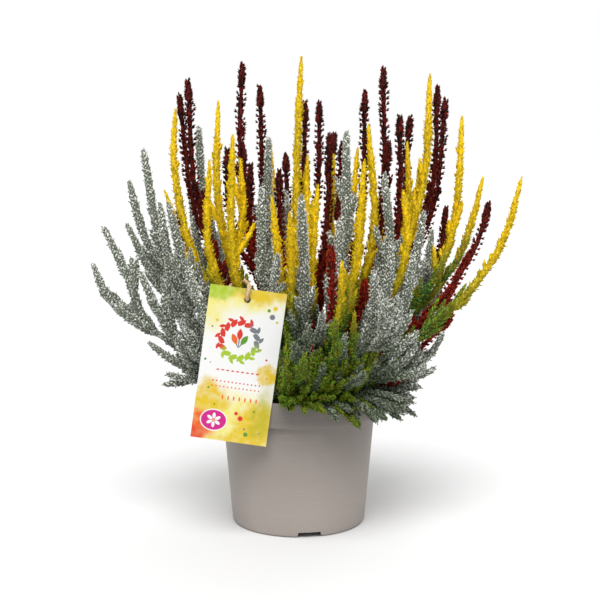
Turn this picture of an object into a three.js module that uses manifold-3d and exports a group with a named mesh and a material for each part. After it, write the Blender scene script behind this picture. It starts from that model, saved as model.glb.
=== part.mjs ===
// Potted bud heather: three varieties (silver, yellow and dark red) growing mixed in one nursery pot,
// with a plain hang label tied to one of the stems.
// Millimetres, +Z up. The pot stands on Z = 0 around the Z axis and the front of the plant faces -Y.

import * as THREE from 'three';
import { mergeVertices } from 'three/addons/utils/BufferGeometryUtils.js';
import Module from 'manifold-3d';

const wasm = await Module();
wasm.setup();

// Pot
const POT_HEIGHT = 107;
const RIM_RADIUS = 65;
const RIM_LOWER_EDGE = 87.7;
const RIM_DRAFT = 0.5;
const RIM_WALL = 1.7;
const RIM_ROUNDING = 0.6;
const BODY_RADIUS_AT_RIM = 60.3;
const BODY_RADIUS_AT_FOOT = 52.8;
const BODY_WALL = 1.5;
const FOOT_ROUNDING = 2.4;
const FOOT_RING_WIDTH = 1.9;
const FLOOR_UNDERSIDE = 5.2;
const FLOOR_THICKNESS = 1.7;
const NOTCH_WIDTH = 18;
const NOTCH_HEIGHT = 4.2;
const NOTCH_COUNT = 3;
const FIRST_NOTCH_DEGREES = -80.8;
const DRAIN_HOLE_RADIUS = 3.5;
const DRAIN_HOLE_CIRCLE = 37;
const DRAIN_HOLE_COUNT = 6;
const NOTCH_DEPTH = 12;
const NOTCH_MIDDLE_INSET = 2;
const POT_SEGMENTS = 48;

// Soil
const CLEARANCE = 0.3;
const SOIL_EDGE_HEIGHT = 95;
const SOIL_DOME = 2.5;
const SOIL_SHOULDER_RISE = 1.6;

// Label and its tie
const LABEL_WIDTH = 57;
const LABEL_HEIGHT = 116;
const LABEL_THICKNESS = 0.6;
const LABEL_TILT_DEGREES = 8;
const LABEL_CENTRE_ACROSS = -44.6;
const LABEL_CENTRE_HEIGHT = 135.5;
const LABEL_HOLE_RADIUS = 2.5;
const LABEL_HOLE_BELOW_EDGE = 8;
const TIE_RADIUS = 1.4;
const TIE_LIFT = 0.3;
const TIE_SIDES = 8;
const TIE_STEPS = 20;
const TIE_HALVES = [[0, 0.52], [0.5, 1.02]];

// Shoots
const VARIETIES = {
  silver: { radius: 4.3, tipTaper: 20, color: 0x9aa59b, roughness: 0.85 },
  yellow: { radius: 3.5, tipTaper: 34, color: 0xdcbc0c, roughness: 0.7 },
  red: { radius: 4.1, tipTaper: 16, color: 0x5a161a, roughness: 0.75 },
};
const STEM_RADIUS = 1.4;
const BARE_STEM = 9;
const LEAFY_FROM = 22;
const STEEP_START = 14;
const STEEP_START_LEAN = 0.1;
const SHOOT_SIDES = 5;
const RING_STEP = 30;
const FORK_LEAFY_FROM = 16;
const FORK_GIRTH_SHARE = 0.94;
const TIP_GIRTH_SHARE = 0.38;
const TIP_RINGS = [0.35, 0.06];
const LOWEST_FORK = 3;
const FORK_DROP = 14;
const FORK_STEEPNESS = 1.3;
const VIEW_DISTANCE = 950;
const VIEW_HEIGHT = 304;

// How the shoots are kept apart
const SAMPLE_STEP = 6;
const CELL = 14;
const SIDEWAYS_SHARE = 0.35;
const CROWDED_BELOW = 110;
const FREE_ABOVE = 150;
const SPREAD_PASSES = 3;
const SPREAD_SHARE = 0.8;
const SHOOT_GAP = 1.7;
const RELAX_ROUNDS = 400;
const LONGEST_MOVE = 1.5;
const STRAIGHTENING = 0.25;
const FORK_FREE_LENGTH = 24;
const LABEL_MARGIN = 1.4;
const RIM_MARGIN = 1.2;
const RIM_TOP_WIDTH = 4;
const FOOT_SPACING = 9.9;
const FOOT_ROUNDS = 400;
const FOOT_LIMIT = 52;
const FOOT_LEAN = 0.4;
const DEPTH_BEND = 1.6;

function solidFrom(geometry) {
  geometry.deleteAttribute('normal');
  geometry.deleteAttribute('uv');
  const merged = mergeVertices(geometry, 1e-4);
  return new wasm.Manifold(new wasm.Mesh({
    numProp: 3,
    vertProperties: Float32Array.from(merged.attributes.position.array),
    triVerts: Uint32Array.from(merged.index.array),
  }));
}

function geometryFrom(solid) {
  const mesh = solid.getMesh();
  const geometry = new THREE.BufferGeometry();
  geometry.setAttribute('position', new THREE.BufferAttribute(Float32Array.from(mesh.vertProperties), 3));
  geometry.setIndex(new THREE.BufferAttribute(Uint32Array.from(mesh.triVerts), 1));
  geometry.computeVertexNormals();
  return geometry;
}

function lathe(profile, segments) {
  const geometry = new THREE.LatheGeometry(profile.map(([r, z]) => new THREE.Vector2(r, z)), segments);
  return geometry.rotateX(Math.PI / 2);
}

function material(color, roughness) {
  return new THREE.MeshStandardMaterial({ color, roughness, metalness: 0 });
}

const plant = new THREE.Group();

function addPiece(name, geometry, look) {
  const mesh = new THREE.Mesh(geometry, look);
  mesh.name = name;
  plant.add(mesh);
  return mesh;
}

// Pot: one thin wall of revolution with a stepped rim band, a raised floor and a notched foot ring
function bodyRadius(z) {
  return BODY_RADIUS_AT_FOOT + (BODY_RADIUS_AT_RIM - BODY_RADIUS_AT_FOOT) * z / RIM_LOWER_EDGE;
}

function potInnerRadius(z) {
  const shoulder = RIM_LOWER_EDGE + BODY_WALL;
  return z < shoulder ? bodyRadius(z) - BODY_WALL : RIM_RADIUS - RIM_DRAFT - RIM_WALL;
}

function makePot() {
  const floorTop = FLOOR_UNDERSIDE + FLOOR_THICKNESS;
  const footOuter = BODY_RADIUS_AT_FOOT - FOOT_ROUNDING;
  const footInner = footOuter - FOOT_RING_WIDTH;
  const corner = [-60, -30, 0].map((degrees) => {
    const angle = THREE.MathUtils.degToRad(degrees);
    return [footOuter + FOOT_ROUNDING * Math.cos(angle), FOOT_ROUNDING * (1 + Math.sin(angle))];
  });
  const rimLow = RIM_RADIUS - RIM_DRAFT;
  const rimInner = RIM_RADIUS - RIM_WALL;
  const shoulder = RIM_LOWER_EDGE + BODY_WALL;
  const profile = [
    [0, FLOOR_UNDERSIDE],
    [footInner, FLOOR_UNDERSIDE],
    [footInner, 0],
    [footOuter, 0],
    ...corner,
    [BODY_RADIUS_AT_RIM, RIM_LOWER_EDGE],
    [rimLow - RIM_ROUNDING, RIM_LOWER_EDGE],
    [rimLow, RIM_LOWER_EDGE + RIM_ROUNDING],
    [RIM_RADIUS, POT_HEIGHT - RIM_ROUNDING],
    [RIM_RADIUS - RIM_ROUNDING, POT_HEIGHT],
    [rimInner + RIM_ROUNDING, POT_HEIGHT],
    [rimInner, POT_HEIGHT - RIM_ROUNDING],
    [potInnerRadius(shoulder + 1), shoulder + 1],
    [potInnerRadius(shoulder - 0.1), shoulder],
    [potInnerRadius(floorTop), floorTop],
    [0, floorTop],
  ];
  let pot = solidFrom(lathe(profile, POT_SEGMENTS));
  for (let i = 0; i < NOTCH_COUNT; i += 1) {
    const angle = THREE.MathUtils.degToRad(FIRST_NOTCH_DEGREES + i * 360 / NOTCH_COUNT);
    const notch = new THREE.BoxGeometry(NOTCH_DEPTH, NOTCH_WIDTH, NOTCH_HEIGHT * 2);
    notch.translate(BODY_RADIUS_AT_FOOT - NOTCH_MIDDLE_INSET, 0, 0);
    notch.rotateZ(angle);
    pot = pot.subtract(solidFrom(notch));
  }
  for (let i = 0; i < DRAIN_HOLE_COUNT; i += 1) {
    const angle = THREE.MathUtils.degToRad(FIRST_NOTCH_DEGREES + (i + 0.5) * 360 / DRAIN_HOLE_COUNT);
    const hole = new THREE.CylinderGeometry(DRAIN_HOLE_RADIUS, DRAIN_HOLE_RADIUS, FLOOR_THICKNESS * 4, 12);
    hole.rotateX(Math.PI / 2);
    hole.translate(
      DRAIN_HOLE_CIRCLE * Math.cos(angle),
      DRAIN_HOLE_CIRCLE * Math.sin(angle),
      FLOOR_UNDERSIDE + FLOOR_THICKNESS / 2,
    );
    pot = pot.subtract(solidFrom(hole));
  }
  return geometryFrom(pot);
}

// Soil: fills the pot to a little below the rim, gently domed
function soilHeight(radius) {
  const edge = potInnerRadius(SOIL_EDGE_HEIGHT);
  return SOIL_EDGE_HEIGHT + SOIL_DOME * (1 - (radius / edge) ** 2);
}

function makeSoil() {
  const bottom = FLOOR_UNDERSIDE + FLOOR_THICKNESS + CLEARANCE;
  const shoulder = RIM_LOWER_EDGE + BODY_WALL;
  const edge = potInnerRadius(SOIL_EDGE_HEIGHT) - CLEARANCE;
  const profile = [
    [0, bottom],
    [potInnerRadius(bottom) - CLEARANCE, bottom],
    [potInnerRadius(shoulder - 0.1) - CLEARANCE, shoulder + CLEARANCE],
    [edge, shoulder + SOIL_SHOULDER_RISE],
    [edge, SOIL_EDGE_HEIGHT],
    [edge * 0.7, soilHeight(edge * 0.7)],
    [edge * 0.35, soilHeight(edge * 0.35)],
    [0, soilHeight(0)],
  ];
  return lathe(profile, POT_SEGMENTS);
}

// Label: a thin upright card turned a little clockwise as seen from the front, whose right edge
// rests against the rim
const labelTilt = THREE.MathUtils.degToRad(LABEL_TILT_DEGREES);
const restingEdge = LABEL_CENTRE_ACROSS + LABEL_WIDTH / 2 * Math.cos(labelTilt)
  + (POT_HEIGHT - LABEL_CENTRE_HEIGHT) * Math.tan(labelTilt);
const rimDepth = Math.sqrt(RIM_RADIUS ** 2 - restingEdge ** 2);
const labelMiddleDepth = -(rimDepth + CLEARANCE + LABEL_THICKNESS / 2);

const labelCentre = new THREE.Vector3(LABEL_CENTRE_ACROSS, labelMiddleDepth, LABEL_CENTRE_HEIGHT);
const depthAxis = new THREE.Vector3(0, 1, 0);

function onLabel(across, up) {
  return new THREE.Vector3(across, 0, up).applyAxisAngle(depthAxis, labelTilt).add(labelCentre);
}

function makeLabel() {
  const outline = new THREE.Shape();
  outline.moveTo(-LABEL_WIDTH / 2, -LABEL_HEIGHT / 2);
  outline.lineTo(LABEL_WIDTH / 2, -LABEL_HEIGHT / 2);
  outline.lineTo(LABEL_WIDTH / 2, LABEL_HEIGHT / 2);
  outline.lineTo(-LABEL_WIDTH / 2, LABEL_HEIGHT / 2);
  const hole = new THREE.Path();
  hole.absarc(0, LABEL_HEIGHT / 2 - LABEL_HOLE_BELOW_EDGE, LABEL_HOLE_RADIUS, 0, Math.PI * 2, true);
  outline.holes.push(hole);
  const options = { depth: LABEL_THICKNESS, bevelEnabled: false, curveSegments: 8 };
  const card = new THREE.ExtrudeGeometry(outline, options);
  card.translate(0, 0, -LABEL_THICKNESS / 2);
  card.rotateX(Math.PI / 2);
  card.rotateY(labelTilt);
  card.translate(labelCentre.x, labelCentre.y, labelCentre.z);
  return card;
}

// Shoots. Each spike is [tip across, tip up, tip depth, across, up, ...] in front elevation: where its
// tip shows, how far behind the pot's middle it stands, and one or two lower points that it passes on
// its way up, the higher first. The first spike of a shoot grows from the soil, the others fork from it.
const SHOOTS = {
  silver: [
    [
      [-153, 235, -12, -136, 199, -119, 156],
      [-162, 207, 14, -151, 179, -128, 157],
      [-125, 200, -34, -111, 167],
    ],
    [
      [-131, 270, 22, -127, 247, -115, 212],
      [-134, 236, 44, -120, 207, -107, 184],
      [-116, 214, 66, -98, 170],
    ],
    [[-120, 294, -6, -116, 266, -104, 206], [-108, 253, -26, -96, 186]],
    [[-102, 254, -44, -84, 186], [-87, 203, -62, -76, 166]],
    [[-77, 312, 40, -74, 254], [-84, 262, 62, -76, 204]],
    [[-29, 264, -52, -28, 195], [-16, 214, -66, -18, 168]],
    [[-23, 303, 26, -24, 250], [-10, 264, 40, -12, 210]],
    [[2, 258, -72, 4, 174], [19, 168, -98, 14, 140]],
    [[37, 308, -34, 36, 221], [32, 241, -52, 32, 190]],
    [[66, 275, -36, 71, 210], [73, 222, -56, 70, 172]],
    [[98, 247, -30, 88, 192], [88, 214, -48, 80, 164]],
    [[104, 231, 4, 98, 168], [112, 196, 22, 100, 152]],
    [[58, 200, -80, 59, 152], [68, 178, -98, 64, 140]],
    [[79, 178, -58, 75, 136], [94, 152, -40, 83, 126], [102, 126, -50, 86, 112]],
    [[114, 152, -14, 98, 126], [108, 122, -24, 90, 111], [94, 98, -32, 80, 106]],
    [[-7, 142, -100, 6, 112], [8, 152, -84, 12, 122]],
    [[52, 118, -100, 44, 108], [37, 148, -86, 34, 124]],
    [[-119, 142, -14, -92, 123], [-106, 117, -28, -82, 111], [-94, 160, -46, -76, 130]],
    [[-62, 236, 92, -52, 180], [-84, 214, 88, -66, 164], [-58, 172, 116, -44, 132]],
    [[76, 238, 92, 64, 180], [98, 206, 84, 78, 160], [80, 168, 110, 58, 130]],
  ],
  yellow: [
    [[-95, 323, -18, -97, 285, -84, 215]],
    [[-62, 331, -32, -62, 244], [-69, 286, -50, -69, 205]],
    [[-51, 304, -56, -51, 205], [-45, 285, -40, -44, 232]],
    [[2, 363, 6, -2, 261], [7, 289, 26, 4, 236]],
    [[-21, 258, -66, -17, 197]],
    [[-7, 246, -88, -6, 176], [-14, 150, -112, -4, 126]],
    [[15, 268, -54, 10, 197], [6, 272, -38, 8, 214]],
    [[27, 289, -14, 24, 233], [46, 296, 4, 38, 232]],
    [[34, 207, -98, 32, 160], [29, 160, -116, 29, 128]],
    [[51, 284, -62, 43, 190], [44, 168, -98, 42, 132]],
    [[54, 312, -18, 58, 220]],
    [[81, 262, -50, 85, 210]],
    [[101, 352, 2, 95, 258], [84, 300, 24, 84, 236]],
    [[126, 318, -10, 123, 246, 110, 198], [143, 272, 16, 136, 242, 123, 206]],
    [[173, 272, -48, 161, 224, 137, 186], [132, 190, -14, 112, 158]],
    [[-12, 124, -104, -9, 112], [4, 130, -120, 0, 113]],
    [[-22, 300, 76, -18, 220], [2, 276, 90, 0, 210], [-14, 182, 120, -8, 140]],
    [[52, 286, 70, 46, 210], [70, 262, 84, 58, 196], [52, 196, 116, 40, 148]],
    [[-104, 262, 48, -80, 196], [-118, 222, 60, -92, 170], [-112, 170, 70, -82, 134]],
  ],
  red: [
    [[-85, 347, -2, -79, 254], [-92, 336, 18, -82, 250]],
    [[-94, 253, 10, -84, 206], [-74, 262, 28, -66, 200]],
    [[-43, 361, 0, -45, 284], [-55, 295, 18, -54, 240]],
    [[-30, 343, 46, -28, 281], [-44, 300, 60, -38, 240]],
    [[-15, 280, -10, -15, 242], [-37, 282, -22, -38, 210]],
    [[5, 332, 50, 4, 250], [16, 330, 34, 14, 250]],
    [[24, 307, -24, 22, 236], [52, 193, -40, 48, 160]],
    [[25, 218, -76, 27, 167]],
    [[51, 338, 26, 48, 240], [34, 300, 22, 31, 232]],
    [[65, 356, 8, 64, 250], [70, 300, 44, 64, 230]],
    [[78, 321, -14, 76, 230], [86, 319, 28, 80, 232]],
    [[107, 343, 22, 101, 250], [113, 332, 38, 103, 240]],
    [[94, 270, 62, 84, 204], [118, 236, 56, 96, 178]],
    [[115, 251, 30, 108, 200], [134, 214, 44, 110, 166], [118, 162, 58, 88, 130]],
    [[148, 254, -8, 143, 227, 124, 192], [122, 166, -8, 104, 138]],
    [[-10, 290, 98, -8, 220], [-34, 250, 118, -24, 190]],
    [[28, 306, 104, 22, 226], [42, 240, 116, 30, 184], [18, 158, 116, 12, 126]],
  ],
};

// A point of the front elevation moved along its sight line to the given depth
function seen(across, up, depth) {
  const reach = 1 + depth / VIEW_DISTANCE;
  return new THREE.Vector3(across * reach, depth, VIEW_HEIGHT + (up - VIEW_HEIGHT) * reach);
}

// Shoots that lean far stand near the pot wall, upright ones near the middle
function footOf(tip) {
  const lean = Math.hypot(tip.x, tip.y) / (tip.z - SOIL_EDGE_HEIGHT);
  const radius = FOOT_LIMIT * lean / (lean + FOOT_LEAN);
  const angle = Math.atan2(tip.y, tip.x);
  return new THREE.Vector3(radius * Math.cos(angle), radius * Math.sin(angle), 0);
}

function sampled(curve) {
  const count = Math.max(6, Math.round(curve.getLength() / SAMPLE_STEP));
  return curve.getSpacedPoints(count);
}

function smoothStep(value, from, to) {
  const t = THREE.MathUtils.clamp((value - from) / (to - from), 0, 1);
  return t * t * (3 - 2 * t);
}

function lengthsAlong(points) {
  const lengths = [0];
  for (let i = 1; i < points.length; i += 1) {
    lengths.push(lengths[i - 1] + points[i].distanceTo(points[i - 1]));
  }
  return lengths;
}

// Thickness of a spike with its leaves at a distance along it
function spikeRadius(variety, along, total, forked) {
  const { radius, tipTaper } = VARIETIES[variety];
  const body = forked
    ? THREE.MathUtils.lerp(STEM_RADIUS, radius * FORK_GIRTH_SHARE, smoothStep(along, 0, FORK_LEAFY_FROM))
    : THREE.MathUtils.lerp(STEM_RADIUS, radius, smoothStep(along, BARE_STEM, LEAFY_FROM));
  const tip = THREE.MathUtils.clamp((total - along) / tipTaper, 0, 1);
  return Math.min(body, radius * THREE.MathUtils.lerp(TIP_GIRTH_SHARE, 1, Math.sqrt(tip)));
}

function makeChain(variety, points, parent, forkIndex) {
  const lengths = lengthsAlong(points);
  const total = lengths[lengths.length - 1];
  return {
    variety,
    parent,
    forkIndex,
    points,
    rest: points.map((point) => point.clone()),
    radii: lengths.map((along) => spikeRadius(variety, along, total, parent !== null)),
    moves: points.map(() => new THREE.Vector3()),
    fixed: false,
  };
}

function planSpikes(variety, spikes) {
  return spikes.map(([tipAcross, tipUp, depth, ...way]) => {
    const tip = seen(tipAcross, tipUp, depth);
    const ways = [];
    for (let i = way.length - 2; i >= 0; i -= 2) {
      ways.push([way[i], way[i + 1], depth]);
    }
    return { variety, tip, foot: footOf(tip), ways };
  });
}

const plans = [];
for (const [variety, shoots] of Object.entries(SHOOTS)) {
  for (const spikes of shoots) {
    plans.push(planSpikes(variety, spikes));
  }
}

// Feet are spread over the soil so that the stems don't touch
for (let round = 0; round < FOOT_ROUNDS; round += 1) {
  for (const [first] of plans) {
    for (const [second] of plans) {
      const offset = new THREE.Vector3().subVectors(second.foot, first.foot);
      const distance = offset.length();
      if (first !== second && distance < FOOT_SPACING) {
        const direction = distance > 1e-6 ? offset.divideScalar(distance) : new THREE.Vector3(0, 1, 0);
        const push = (FOOT_SPACING - distance) * 0.25;
        first.foot.addScaledVector(direction, -push);
        second.foot.addScaledVector(direction, push);
      }
    }
    const radius = Math.hypot(first.foot.x, first.foot.y);
    if (radius > FOOT_LIMIT) {
      first.foot.multiplyScalar(FOOT_LIMIT / radius);
    }
  }
}

function wayPoint(way, foot, tip) {
  const [across, up, depth] = way;
  const rise = (up - SOIL_EDGE_HEIGHT) / (tip.z - SOIL_EDGE_HEIGHT);
  const share = 1 - (1 - THREE.MathUtils.clamp(rise, 0, 1)) ** DEPTH_BEND;
  return seen(across, up, THREE.MathUtils.lerp(foot.y, depth, share));
}

const chains = [];
const shootChains = [];
for (const plan of plans) {
  const [main, ...forks] = plan;
  main.foot.z = soilHeight(Math.hypot(main.foot.x, main.foot.y)) + CLEARANCE;
  const ways = main.ways.map((way) => wayPoint(way, main.foot, main.tip));
  const risen = main.foot.clone().lerp(ways[0], STEEP_START_LEAN);
  risen.z = main.foot.z + STEEP_START;
  const curve = new THREE.CatmullRomCurve3([main.foot, risen, ...ways, main.tip], false, 'centripetal');
  const mainChain = makeChain(main.variety, sampled(curve), null, 0);
  const members = [mainChain];
  for (const fork of forks) {
    const forkWays = fork.ways.map((way) => wayPoint(way, main.foot, fork.tip));
    const [lowest] = forkWays;
    let nearest = LOWEST_FORK;
    let best = Infinity;
    for (let i = LOWEST_FORK; i < mainChain.points.length - LOWEST_FORK; i += 1) {
      const point = mainChain.points[i];
      const drop = lowest.z - point.z;
      const aside = Math.hypot(point.x - lowest.x, point.y - lowest.y);
      const misfit = Math.abs(drop - FORK_DROP - aside * FORK_STEEPNESS);
      if (misfit < best) {
        best = misfit;
        nearest = i;
      }
    }
    const start = mainChain.points[nearest];
    const side = new THREE.CatmullRomCurve3([start, ...forkWays, fork.tip], false, 'centripetal');
    members.push(makeChain(fork.variety, sampled(side), mainChain, nearest));
  }
  chains.push(...members);
  shootChains.push(members);
}

// The tied stem stays where it is, and the tie's strands lie beside it
const TIED_SHOOT = SHOOTS.silver.length + 2;
const [tiedStem] = shootChains[TIED_SHOOT];
tiedStem.fixed = true;

// Points of the spikes sorted into cells, so that only near ones are compared
function cellKey(x, y, z) {
  return Math.floor(x / CELL) * 73856093 + Math.floor(y / CELL) * 19349663 + Math.floor(z / CELL) * 83492791;
}

function neighbourhoods() {
  const cells = new Map();
  chains.forEach((chain) => {
    chain.points.forEach((point, index) => {
      const key = cellKey(point.x, point.y, point.z);
      if (!cells.has(key)) {
        cells.set(key, []);
      }
      cells.get(key).push([chain, index]);
    });
  });
  return cells;
}

function related(chain, index, other, otherIndex) {
  const free = FORK_FREE_LENGTH / SAMPLE_STEP;
  if (chain.parent === other) {
    return index < free || Math.abs(chain.forkIndex - otherIndex) < 2;
  }
  if (other.parent === chain) {
    return otherIndex < free || Math.abs(other.forkIndex - index) < 2;
  }
  return chain.parent !== null && chain.parent === other.parent && index < free && otherIndex < free;
}

function separate(chain, index, other, otherIndex) {
  const a = chain.points[index];
  const b = other.points[otherIndex];
  const wanted = chain.radii[index] + other.radii[otherIndex] + SHOOT_GAP;
  const offset = new THREE.Vector3().subVectors(b, a);
  const distance = offset.length();
  if (distance >= wanted) {
    return;
  }
  const low = smoothStep(a.z, FREE_ABOVE, CROWDED_BELOW);
  const sideways = THREE.MathUtils.lerp(SIDEWAYS_SHARE, 1, low);
  const push = new THREE.Vector3(offset.x * sideways, offset.y, 0);
  if (push.length() < 1e-3) {
    push.set(0, 1, 0);
  }
  push.setLength((wanted - distance) * 0.5);
  if (!chain.fixed) {
    chain.moves[index].sub(push);
  }
  if (!other.fixed) {
    other.moves[otherIndex].add(push);
  }
}

const labelBack = labelMiddleDepth + LABEL_THICKNESS / 2;

function keepClearOfPotAndLabel(chain) {
  chain.points.forEach((point, index) => {
    const radius = chain.radii[index];
    const reach = Math.hypot(point.x, point.y);
    const innerLimit = potInnerRadius(POT_HEIGHT) - radius - RIM_MARGIN;
    const outerLimit = RIM_RADIUS + radius + RIM_MARGIN;
    const overRim = POT_HEIGHT + radius + RIM_MARGIN;
    if (reach > innerLimit && reach < outerLimit && point.z < overRim) {
      if (reach < RIM_RADIUS - RIM_TOP_WIDTH) {
        point.multiply(new THREE.Vector3(innerLimit / reach, innerLimit / reach, 1));
      } else {
        point.z = Math.min(point.z + LONGEST_MOVE, overRim);
      }
    }
    const fromLabel = point.clone().sub(labelCentre).applyAxisAngle(depthAxis, -labelTilt);
    const besideLabel = Math.abs(fromLabel.x) < LABEL_WIDTH / 2 + radius + LABEL_MARGIN;
    const levelWithLabel = Math.abs(fromLabel.z) < LABEL_HEIGHT / 2 + radius + LABEL_MARGIN;
    if (besideLabel && levelWithLabel) {
      point.y = Math.max(point.y, labelBack + radius + LABEL_MARGIN);
    }
  });
}

function spreadMoves(chain) {
  const { moves } = chain;
  for (let pass = 0; pass < SPREAD_PASSES; pass += 1) {
    const copy = moves.map((move) => move.clone());
    moves.forEach((move, index) => {
      const before = copy[Math.max(index - 1, 0)];
      const after = copy[Math.min(index + 1, copy.length - 1)];
      const average = new THREE.Vector3().addVectors(before, after).multiplyScalar(0.5);
      if (average.length() > move.length()) {
        move.lerp(average, SPREAD_SHARE);
      }
    });
  }
}

function straighten(chain, amount) {
  const { points } = chain;
  for (let i = 1; i < points.length - 1; i += 1) {
    const middle = new THREE.Vector3().addVectors(points[i - 1], points[i + 1]).multiplyScalar(0.5);
    const restMiddle = new THREE.Vector3().addVectors(chain.rest[i - 1], chain.rest[i + 1]);
    const bow = chain.rest[i].clone().addScaledVector(restMiddle, -0.5);
    points[i].lerp(middle.add(bow), amount);
  }
}

// One round of pushing touching spikes apart, mostly in depth so that the front view keeps its look
function pushApart() {
  const cells = neighbourhoods();
  for (const chain of chains) {
    chain.moves.forEach((move) => move.set(0, 0, 0));
  }
  for (const chain of chains) {
    chain.points.forEach((point, index) => {
      for (let x = -1; x <= 1; x += 1) {
        for (let y = -1; y <= 1; y += 1) {
          for (let z = -1; z <= 1; z += 1) {
            const key = cellKey(point.x + x * CELL, point.y + y * CELL, point.z + z * CELL);
            for (const [other, otherIndex] of cells.get(key) ?? []) {
              if (other !== chain && !related(chain, index, other, otherIndex)) {
                separate(chain, index, other, otherIndex);
              }
            }
          }
        }
      }
    });
  }
  for (const chain of chains) {
    if (!chain.fixed) {
      spreadMoves(chain);
      const firstFree = chain.parent === null ? 1 : 0;
      for (let i = firstFree; i < chain.points.length; i += 1) {
        chain.points[i].add(chain.moves[i].clampLength(0, LONGEST_MOVE));
      }
      straighten(chain, STRAIGHTENING);
      keepClearOfPotAndLabel(chain);
    }
    if (chain.parent !== null) {
      chain.points[0].copy(chain.parent.points[chain.forkIndex]);
    }
  }
}

for (let round = 0; round < RELAX_ROUNDS; round += 1) {
  pushApart();
}

// A spike's solid: a turned spindle bent along the spike's line
function ringPositions(chain, lengths) {
  const total = lengths[lengths.length - 1];
  const { tipTaper } = VARIETIES[chain.variety];
  const rings = chain.parent === null ? [0, BARE_STEM, LEAFY_FROM] : [0, FORK_LEAFY_FROM];
  const first = rings[rings.length - 1];
  const last = total - tipTaper;
  const steps = Math.max(1, Math.round((last - first) / RING_STEP));
  for (let i = 1; i <= steps; i += 1) {
    rings.push(first + (last - first) * i / steps);
  }
  for (const share of TIP_RINGS) {
    rings.push(total - tipTaper * share);
  }
  return rings;
}

function spikeSolid(chain) {
  const curve = new THREE.CatmullRomCurve3(chain.points, false, 'centripetal');
  const lengths = lengthsAlong(chain.points);
  const total = lengths[lengths.length - 1];
  const rings = ringPositions(chain, lengths);
  const profile = [[0, 0]];
  for (const along of rings) {
    profile.push([spikeRadius(chain.variety, along, total, chain.parent !== null), along]);
  }
  profile.push([0, total]);
  const spindle = lathe(profile, SHOOT_SIDES);
  const position = spindle.attributes.position;
  const up = new THREE.Vector3(0, 0, 1);
  for (let i = 0; i < position.count; i += 1) {
    const along = THREE.MathUtils.clamp(position.getZ(i) / total, 0, 1);
    const centre = curve.getPointAt(along);
    const direction = curve.getTangentAt(along);
    if (chain.parent === null && along < 1e-6) {
      direction.copy(up);
    }
    const turn = new THREE.Quaternion().setFromUnitVectors(up, direction);
    const spoke = new THREE.Vector3(position.getX(i), position.getY(i), 0).applyQuaternion(turn);
    position.setXYZ(i, centre.x + spoke.x, centre.y + spoke.y, centre.z + spoke.z);
  }
  return solidFrom(spindle);
}

function makeShoot(members) {
  let shoot = spikeSolid(members[0]);
  for (const member of members.slice(1)) {
    shoot = shoot.add(spikeSolid(member));
  }
  return geometryFrom(shoot);
}

// Tie: a closed round loop through the label's hole, over its top edge and round the tied stem
function stemAt(height) {
  const index = tiedStem.points.findIndex((point) => point.z > height);
  const above = tiedStem.points[index];
  const below = tiedStem.points[index - 1];
  const share = (height - below.z) / (above.z - below.z);
  return new THREE.Vector3().lerpVectors(below, above, share);
}

function makeTie() {
  const hole = onLabel(0, LABEL_HEIGHT / 2 - LABEL_HOLE_BELOW_EDGE);
  const topEdge = onLabel(0, LABEL_HEIGHT / 2);
  const clear = LABEL_THICKNESS / 2 + TIE_RADIUS + CLEARANCE;
  const stem = stemAt(topEdge.z + 2);
  const around = VARIETIES.yellow.radius + TIE_RADIUS + CLEARANCE;
  const path = [
    new THREE.Vector3(hole.x, hole.y, hole.z + TIE_LIFT),
    new THREE.Vector3(hole.x, hole.y - clear - 0.5, hole.z + 2.4),
    new THREE.Vector3(topEdge.x, topEdge.y - clear - 0.5, topEdge.z - 0.6),
    new THREE.Vector3(topEdge.x, topEdge.y - 1, topEdge.z + TIE_RADIUS + 1.1),
    new THREE.Vector3(topEdge.x, topEdge.y + 1.6, topEdge.z + TIE_RADIUS + 1.5),
    new THREE.Vector3(stem.x + around + 0.5, stem.y - 1, stem.z + 1.5),
    new THREE.Vector3(stem.x + around * 0.6, stem.y + around * 0.95, stem.z),
    new THREE.Vector3(stem.x - around * 0.6, stem.y + around * 0.95, stem.z - 1),
    new THREE.Vector3(stem.x - around - 0.4, stem.y, stem.z - 3),
    new THREE.Vector3(stem.x - around * 0.6, stem.y - around, stem.z - 5),
    new THREE.Vector3(hole.x - 1.5, hole.y + clear + 2.2, hole.z + 0.3),
  ];
  const loop = new THREE.CatmullRomCurve3(path, true, 'centripetal');
  const section = new THREE.Shape();
  section.absarc(0, 0, TIE_RADIUS, 0, Math.PI * 2, false);
  let tie = null;
  for (const [from, to] of TIE_HALVES) {
    const points = [];
    for (let i = 0; i <= TIE_STEPS; i += 1) {
      points.push(loop.getPointAt((from + (to - from) * i / TIE_STEPS) % 1));
    }
    const half = new THREE.ExtrudeGeometry(section, {
      steps: TIE_STEPS,
      curveSegments: TIE_SIDES / 2,
      bevelEnabled: false,
      extrudePath: new THREE.CatmullRomCurve3(points, false, 'centripetal'),
    });
    const solid = solidFrom(half);
    tie = tie === null ? solid : tie.add(solid);
  }
  return geometryFrom(tie);
}

addPiece('pot', makePot(), material(0x9d958c, 0.6));
addPiece('potting_soil', makeSoil(), material(0x33281f, 0.95));
addPiece('label', makeLabel(), material(0xf1ecc8, 0.45));
addPiece('label_tie', makeTie(), material(0xc9a878, 0.7));

let shootIndex = 0;
for (const [variety, shoots] of Object.entries(SHOOTS)) {
  const look = material(VARIETIES[variety].color, VARIETIES[variety].roughness);
  shoots.forEach((spikes, index) => {
    const name = `${variety}_shoot_${String(index + 1).padStart(2, '0')}`;
    addPiece(name, makeShoot(shootChains[shootIndex]), look);
    shootIndex += 1;
  });
}

export default plant;
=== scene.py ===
# Mixed bud heather: silver, yellow and dark red plants grown together in one nursery pot, with a plain
# hang label tied to one of the stems. Metres, +Z up, front towards -Y.
import math
import random

import bmesh
import bpy
import numpy as np
from mathutils import Matrix, Vector, noise


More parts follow.
